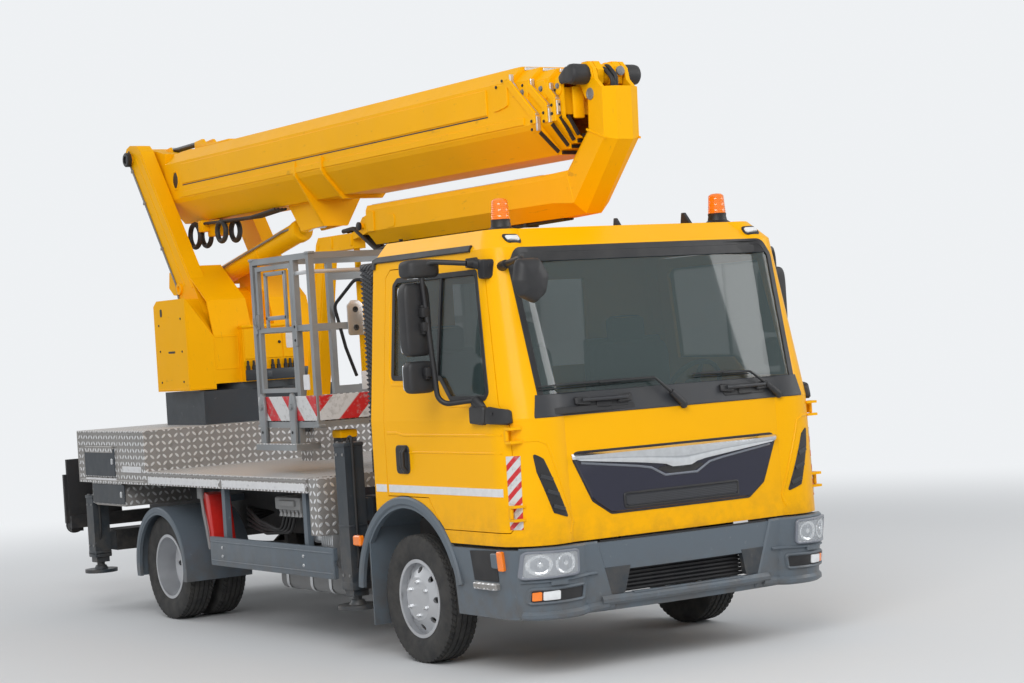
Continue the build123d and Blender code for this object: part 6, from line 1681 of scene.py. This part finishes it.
# Columns: name, x from, x to, seams of the cushion and the back
SEATS = (
    ("bench", -0.97, -0.46, (-0.83, -0.6)), ("middle", -0.44, 0.06, (-0.3, -0.08)),
    ("driver", 0.33, 0.97, (0.47, 0.83)))
for name, low_x, high_x, seams in SEATS:
    seat = ((low_x, -2.49, 1.245), (high_x, -1.97, 1.385))
    back = ((low_x + 0.02, -1.99, 1.36), (high_x - 0.02, -1.86, 1.84))
    head = ((low_x + high_x) / 2 - 0.13, -1.965, 1.83), ((low_x + high_x) / 2 + 0.13, -1.875, 1.99)
    for part, box, thin, marks in (
        ("cushion", seat, 2, seams), ("back", back, 1, seams), ("headrest", head, 1, ())):
        covered = ["cab_interior"] if (part, name) == ("cushion", "driver") else ()
        piece = build(f"seat_{part}_{name}", [cushion(*box, marks, thin)], SEAT, replaces=covered)
    build(f"seat_cords_{name}", [cord(*seat), cord(*back, 1), cord(*head, 1)], GASKET, "truck", "seat_grey")
    build(f"seat_base_{name}", [block(
        (low_x + 0.03, -2.46, 1.04), (high_x - 0.03, -1.99, 1.27), 0.02),
        block((low_x + 0.02, -1.9, 1.2), (high_x - 0.02, -1.855, 1.86), 0.02)], CLADDING)

across = np.linspace(-0.955, 0.955, 40)[:, None]
dash_profile = np.array([
    (-3.135, 1.28), (-3.135, 1.5), (-3.11, 1.525), (-3.0, 1.522), (-2.965, 1.5), (-2.93, 1.44),
    (-2.885, 1.41), (-2.88, 1.385), (-2.895, 1.26), (-2.95, 1.24)])
hood = 0.03 * np.exp(-((across - 0.52) / 0.17) ** 4) * np.array([0, 0, 1, 1, 1, 0.7, 0.2, 0, 0, 0])
dash = np.stack([
    across * np.where(dash_profile[:, 0] < -3.1, 0.93, 1.0), dash_profile[:, 0] + 0.5 * hood,
    dash_profile[:, 1] + 0.6 * hood], axis=-1)
build("dash", [(dash, False, True)], CLADDING, smooth=DASH_SMOOTH)
build(
    "dash_details",
    [
        block((-0.17, -2.98, 1.2), (0.17, -2.885, 1.37), 0.02),
        block((0.35, -2.925, 1.44), (0.69, -2.91, 1.5), 0.006)]
    + [block((x - 0.07, -2.9, 1.42), (x + 0.07, -2.88, 1.47), 0.008) for x in (-0.8, -0.35, 0.1, 0.86)],
    GASKET)
WHEEL_CENTRE = np.array([0.52, -2.758, 1.521])
WHEEL_NORMAL = np.array([0.0, 0.2, 0.12]) / math.hypot(0.2, 0.12)
WHEEL_UP = np.cross(WHEEL_NORMAL, [1.0, 0.0, 0.0])
turn = turns(64)[:, None]
rim = WHEEL_CENTRE + 0.19 * (np.cos(turn) * np.array([1.0, 0.0, 0.0]) + np.sin(turn) * WHEEL_UP)
spokes = [
    tube([
        WHEEL_CENTRE - WHEEL_NORMAL * 0.01, WHEEL_CENTRE + 0.18 * way - WHEEL_NORMAL * 0.002],
        [0.024, 0.012], 10) for way in (np.array([1.0, 0, 0]), np.array([-1.0, 0, 0]), -WHEEL_UP)]
column = [tube([
    (0.52, -2.96, 1.4), (0.52, -2.87, 1.455), tuple(WHEEL_CENTRE - WHEEL_NORMAL * 0.02)],
    [0.055, 0.05, 0.045], 20)]
build("steering_wheel", [
    tube(rim, 0.015, 14, True), *spokes, *column, pod(WHEEL_CENTRE - 0.06, WHEEL_CENTRE + 0.06, 0.8)],
    GASKET)
build("cab_floor", [
    block((-0.97, -2.88, 1.036), (-0.35, -1.87, 1.05), 0.006),
    block((0.35, -2.88, 1.036), (0.97, -1.87, 1.05), 0.006),
    block((-0.345, -2.9, 1.04), (0.345, -1.87, 1.19), 0.04),
    tube([(0.2, -2.75, 1.19), (0.2, -2.77, 1.32), (0.2, -2.76, 1.44)], [0.03, 0.012, 0.02], 16)], CLADDING)
build("pedals", [
    block((x - 0.03, -2.9, 1.09), (x + 0.03, -2.875, 1.17), 0.008) for x in (0.42, 0.56, 0.68)], GASKET)


# Rear: marker boards, lamps, blank plate; cab back panels; devices under the deck
BOARD_Y = 3.405
REAR_LAMP = (1.03, 3.44, 0.62)
CAB_BACK_Y = -1.676
for hand, side in SIDES:
    board = flat("y", BOARD_Y, 1)
    lamp_place = (side * REAR_LAMP[0], *REAR_LAMP[1:])
    low_x, high_x = sorted((side * 0.655, side * 1.105))
    build(f"rear_marker_{hand}", [relief(
        board, rectangle(low_x, high_x, 0.76, 1.01, 0.01), 0.004, 0.002, 8, 10)], KICK_TAPE_REAR, "truck",
        "rim_paint")
    red, amber, white = (
        relief(board, rectangle(*sorted((side * low, side * high)), 0.665, 0.735, 0.01), 0.022, 0.006)
        for low, high in ((0.68, 0.78), (0.79, 0.88), (0.89, 0.95)))
    build(f"rear_lamp_{hand}", [spun([
        (0, 0.056), (0.008, 0.055), (0.014, 0.046), (0.017, 0.03), (0.018, 0.0005)], lamp_place, "y", 40),
        red], RED_LENS)
    build(f"rear_turn_lamp_{hand}", [amber], AMBER)
    build(f"rear_white_lamp_{hand}", [white], WHITE_LENS)
    build(f"rear_lamp_rim_{hand}", [spun([
        (0, 0.066), (0.012, 0.066), (0.016, 0.06), (0.01, 0.056), (0, 0.056)], lamp_place, "y", 40),
        band(board, handed(corners(0.665, 0.96, 0.65, 0.75), side), 0.02, 0.012, 0.004, True)], GASKET)
    back = flat("y", CAB_BACK_Y, 1)
    build(
        f"cab_back_panel_{hand}",
        [relief(back, rounded_loop(
            sorted([(side * 0.12, 1.16), (side * 0.88, 1.16)])
            + sorted([(side * 0.12, 1.44), (side * 0.88, 1.44)], reverse=True), 0.04), 0.008, 0.006, 10, 16)]
        + [band(back, [(side * x, 1.2), (side * x, 1.4)], 0.03, 0.014, 0.008) for x in (0.3, 0.5, 0.7)],
        CAB_YELLOW)
build("rear_plate", [relief(
    flat("y", 3.375, 1), rectangle(-0.26, 0.26, 0.605, 0.695, 0.008), 0.006, 0.002, 4, 10)], WHITE_TAPE)
build(
    "underdeck_valves",
    [
        block((-1.06, -0.56, 0.86), (-0.86, -0.2, 0.945), 0.012),
        block((-1.08, -0.5, 0.885), (-1.055, -0.28, 0.925), 0.008)]
    + [
        tube([(-1.03, y, 0.865), (-1.03, y, 0.84), (-1.03, y, 0.815)], [0.02, 0.012, 0.018], 12)
        for y in np.linspace(-0.52, -0.24, 6)], CAST_GREY)
build(
    "underdeck_fins",
    [block((-1.06, y, 0.5), (-0.93, y + 0.012, 0.78), 0.003) for y in np.arange(-0.98, -0.82, 0.028)]
    + [block((-1.055, -0.81, 0.66), (-0.92, -0.7, 0.79), 0.02)], BRIGHT_ALLOY, "truck", "steel_grey")
build("underdeck_hoses", [
    pipe([
        (-0.96, -0.3 + 0.05 * k, 0.82), (-0.97, -0.25 + 0.05 * k, 0.7),
        (-0.93, 0.2 + 0.04 * k, 0.67 + 0.03 * k), (-0.8, 0.75, 0.7 + 0.04 * k), (-0.5, 0.95, 0.75)], 0.08,
        0.06, 0.011, 10) for k in range(4)], HOSE)
build("chock", [plate(rounded_loop([
    (0.74, 0.53), (0.84, 0.56), (0.93, 0.86), (0.87, 0.95), (0.8, 0.93), (0.77, 0.75)], 0.015),
    (-1.07, -0.9), "x", 0.008)], RED_LENS)
build("chock_strap", [pipe([
    (-1.08, 0.9, 0.95), (-1.082, 0.87, 0.8), (-1.085, 0.83, 0.7), (-1.08, 0.8, 0.55)], 0.05, 0.04, 0.011,
    8), block((-1.085, 0.88, 0.9), (-1.06, 0.96, 0.98), 0.006)], CAST_GREY)


# Camera, light and floor


def set_camera():
    """Camera at the photograph's place: yaw from +Y towards +X, a slight downward pitch and a small roll."""
    place = Vector((-7.63014, -13.28716, 1.90075))
    yaw = math.radians(33.0956)
    pitch = math.radians(-0.1144)
    roll = math.radians(-3.6419)
    ahead = Vector((math.sin(yaw) * math.cos(pitch), math.cos(yaw) * math.cos(pitch), math.sin(pitch)))
    level = Vector((math.cos(yaw), -math.sin(yaw), 0))
    right = level * math.cos(roll) + level.cross(ahead) * math.sin(roll)
    up = right.cross(ahead)
    data = bpy.data.cameras.new("camera")
    data.sensor_width = 36
    data.lens = 77.05
    data.clip_end = 200
    camera = bpy.data.objects.new("camera", data)
    bpy.context.scene.collection.objects.link(camera)
    camera.matrix_world = Matrix.Translation(place) @ Matrix((right, up, -ahead)).transposed().to_4x4()
    bpy.context.scene.camera = camera


BACKDROP = (0.86, 0.88, 0.9)
FLOOR_CLEAR = 6.0
FLOOR_GONE = 13.0


def set_light():
    """Soft overcast studio: an even pale world and three large area lamps."""
    world = bpy.data.worlds.new("studio")
    bpy.context.scene.world = world
    world.use_nodes = True
    start = Signal(world.node_tree)
    seen = start.node("ShaderNodeLightPath", output="Is Camera Ray")
    back = world.node_tree.nodes["Background"]
    back.inputs["Color"].default_value = (*BACKDROP, 1)
    strength = 0.72 + seen * 0.28
    world.node_tree.links.new(strength.socket, back.inputs["Strength"])
    # Columns: name, place, aim, size, power
    lamps = (
        ("key_lamp", (-8.0, -10.0, 8.5), (0, -1.0, 1.2), 7.0, 900),
        ("fill_lamp", (9.0, -7.0, 6.0), (0, 0, 1.5), 6.0, 350),
        ("rim_lamp", (-3.0, 11.0, 8.0), (0, 1.0, 2.0), 7.0, 220))
    for name, place, aim, size, power in lamps:
        data = bpy.data.lights.new(name, "AREA")
        data.size = size
        data.energy = power
        lamp = bpy.data.objects.new(name, data)
        lamp.location = place
        lamp.rotation_euler = (Vector(aim) - Vector(place)).to_track_quat("-Z", "Y").to_euler()
        bpy.context.scene.collection.objects.link(lamp)


def set_floor():
    """Pale studio floor that the camera sees fade into the backdrop with the distance from the truck."""
    tone = Finish("floor", (0.66, 0.67, 0.68), 0.75)
    tone.rough(0.7 + 0.1 * tone.noise(3, 3))
    distance = tone.node("ShaderNodeVectorMath", {"operation": "LENGTH"}, {0: tone.place}, 1)
    fade = distance.above((FLOOR_CLEAR + FLOOR_GONE) / 2, (FLOOR_GONE - FLOOR_CLEAR) / 2)
    seen = tone.node("ShaderNodeLightPath", output="Is Camera Ray")
    far = tone.node("ShaderNodeEmission", inputs={"Color": (*BACKDROP, 1), "Strength": 1.0})
    near = Signal(tone.tree, tone.shader.outputs[0])
    surface = tone.node("ShaderNodeMixShader", inputs={0: fade * seen, 1: near, 2: far})
    tone.tree.links.new(surface.socket, tone.tree.nodes["Material Output"].inputs["Surface"])
    mesh = bpy.data.meshes.new("floor")
    reach = 60.0
    mesh.from_pydata([
        (-reach, -reach, 0), (reach, -reach, 0), (reach, reach, 0), (-reach, reach, 0)], [], [(0, 1, 2, 3)])
    mesh.materials.append(tone.material)
    ground = bpy.data.objects.new("floor", mesh)
    bpy.context.scene.collection.objects.link(ground)


set_camera()
set_light()
set_floor()
bpy.context.scene.view_settings.view_transform = "Standard"
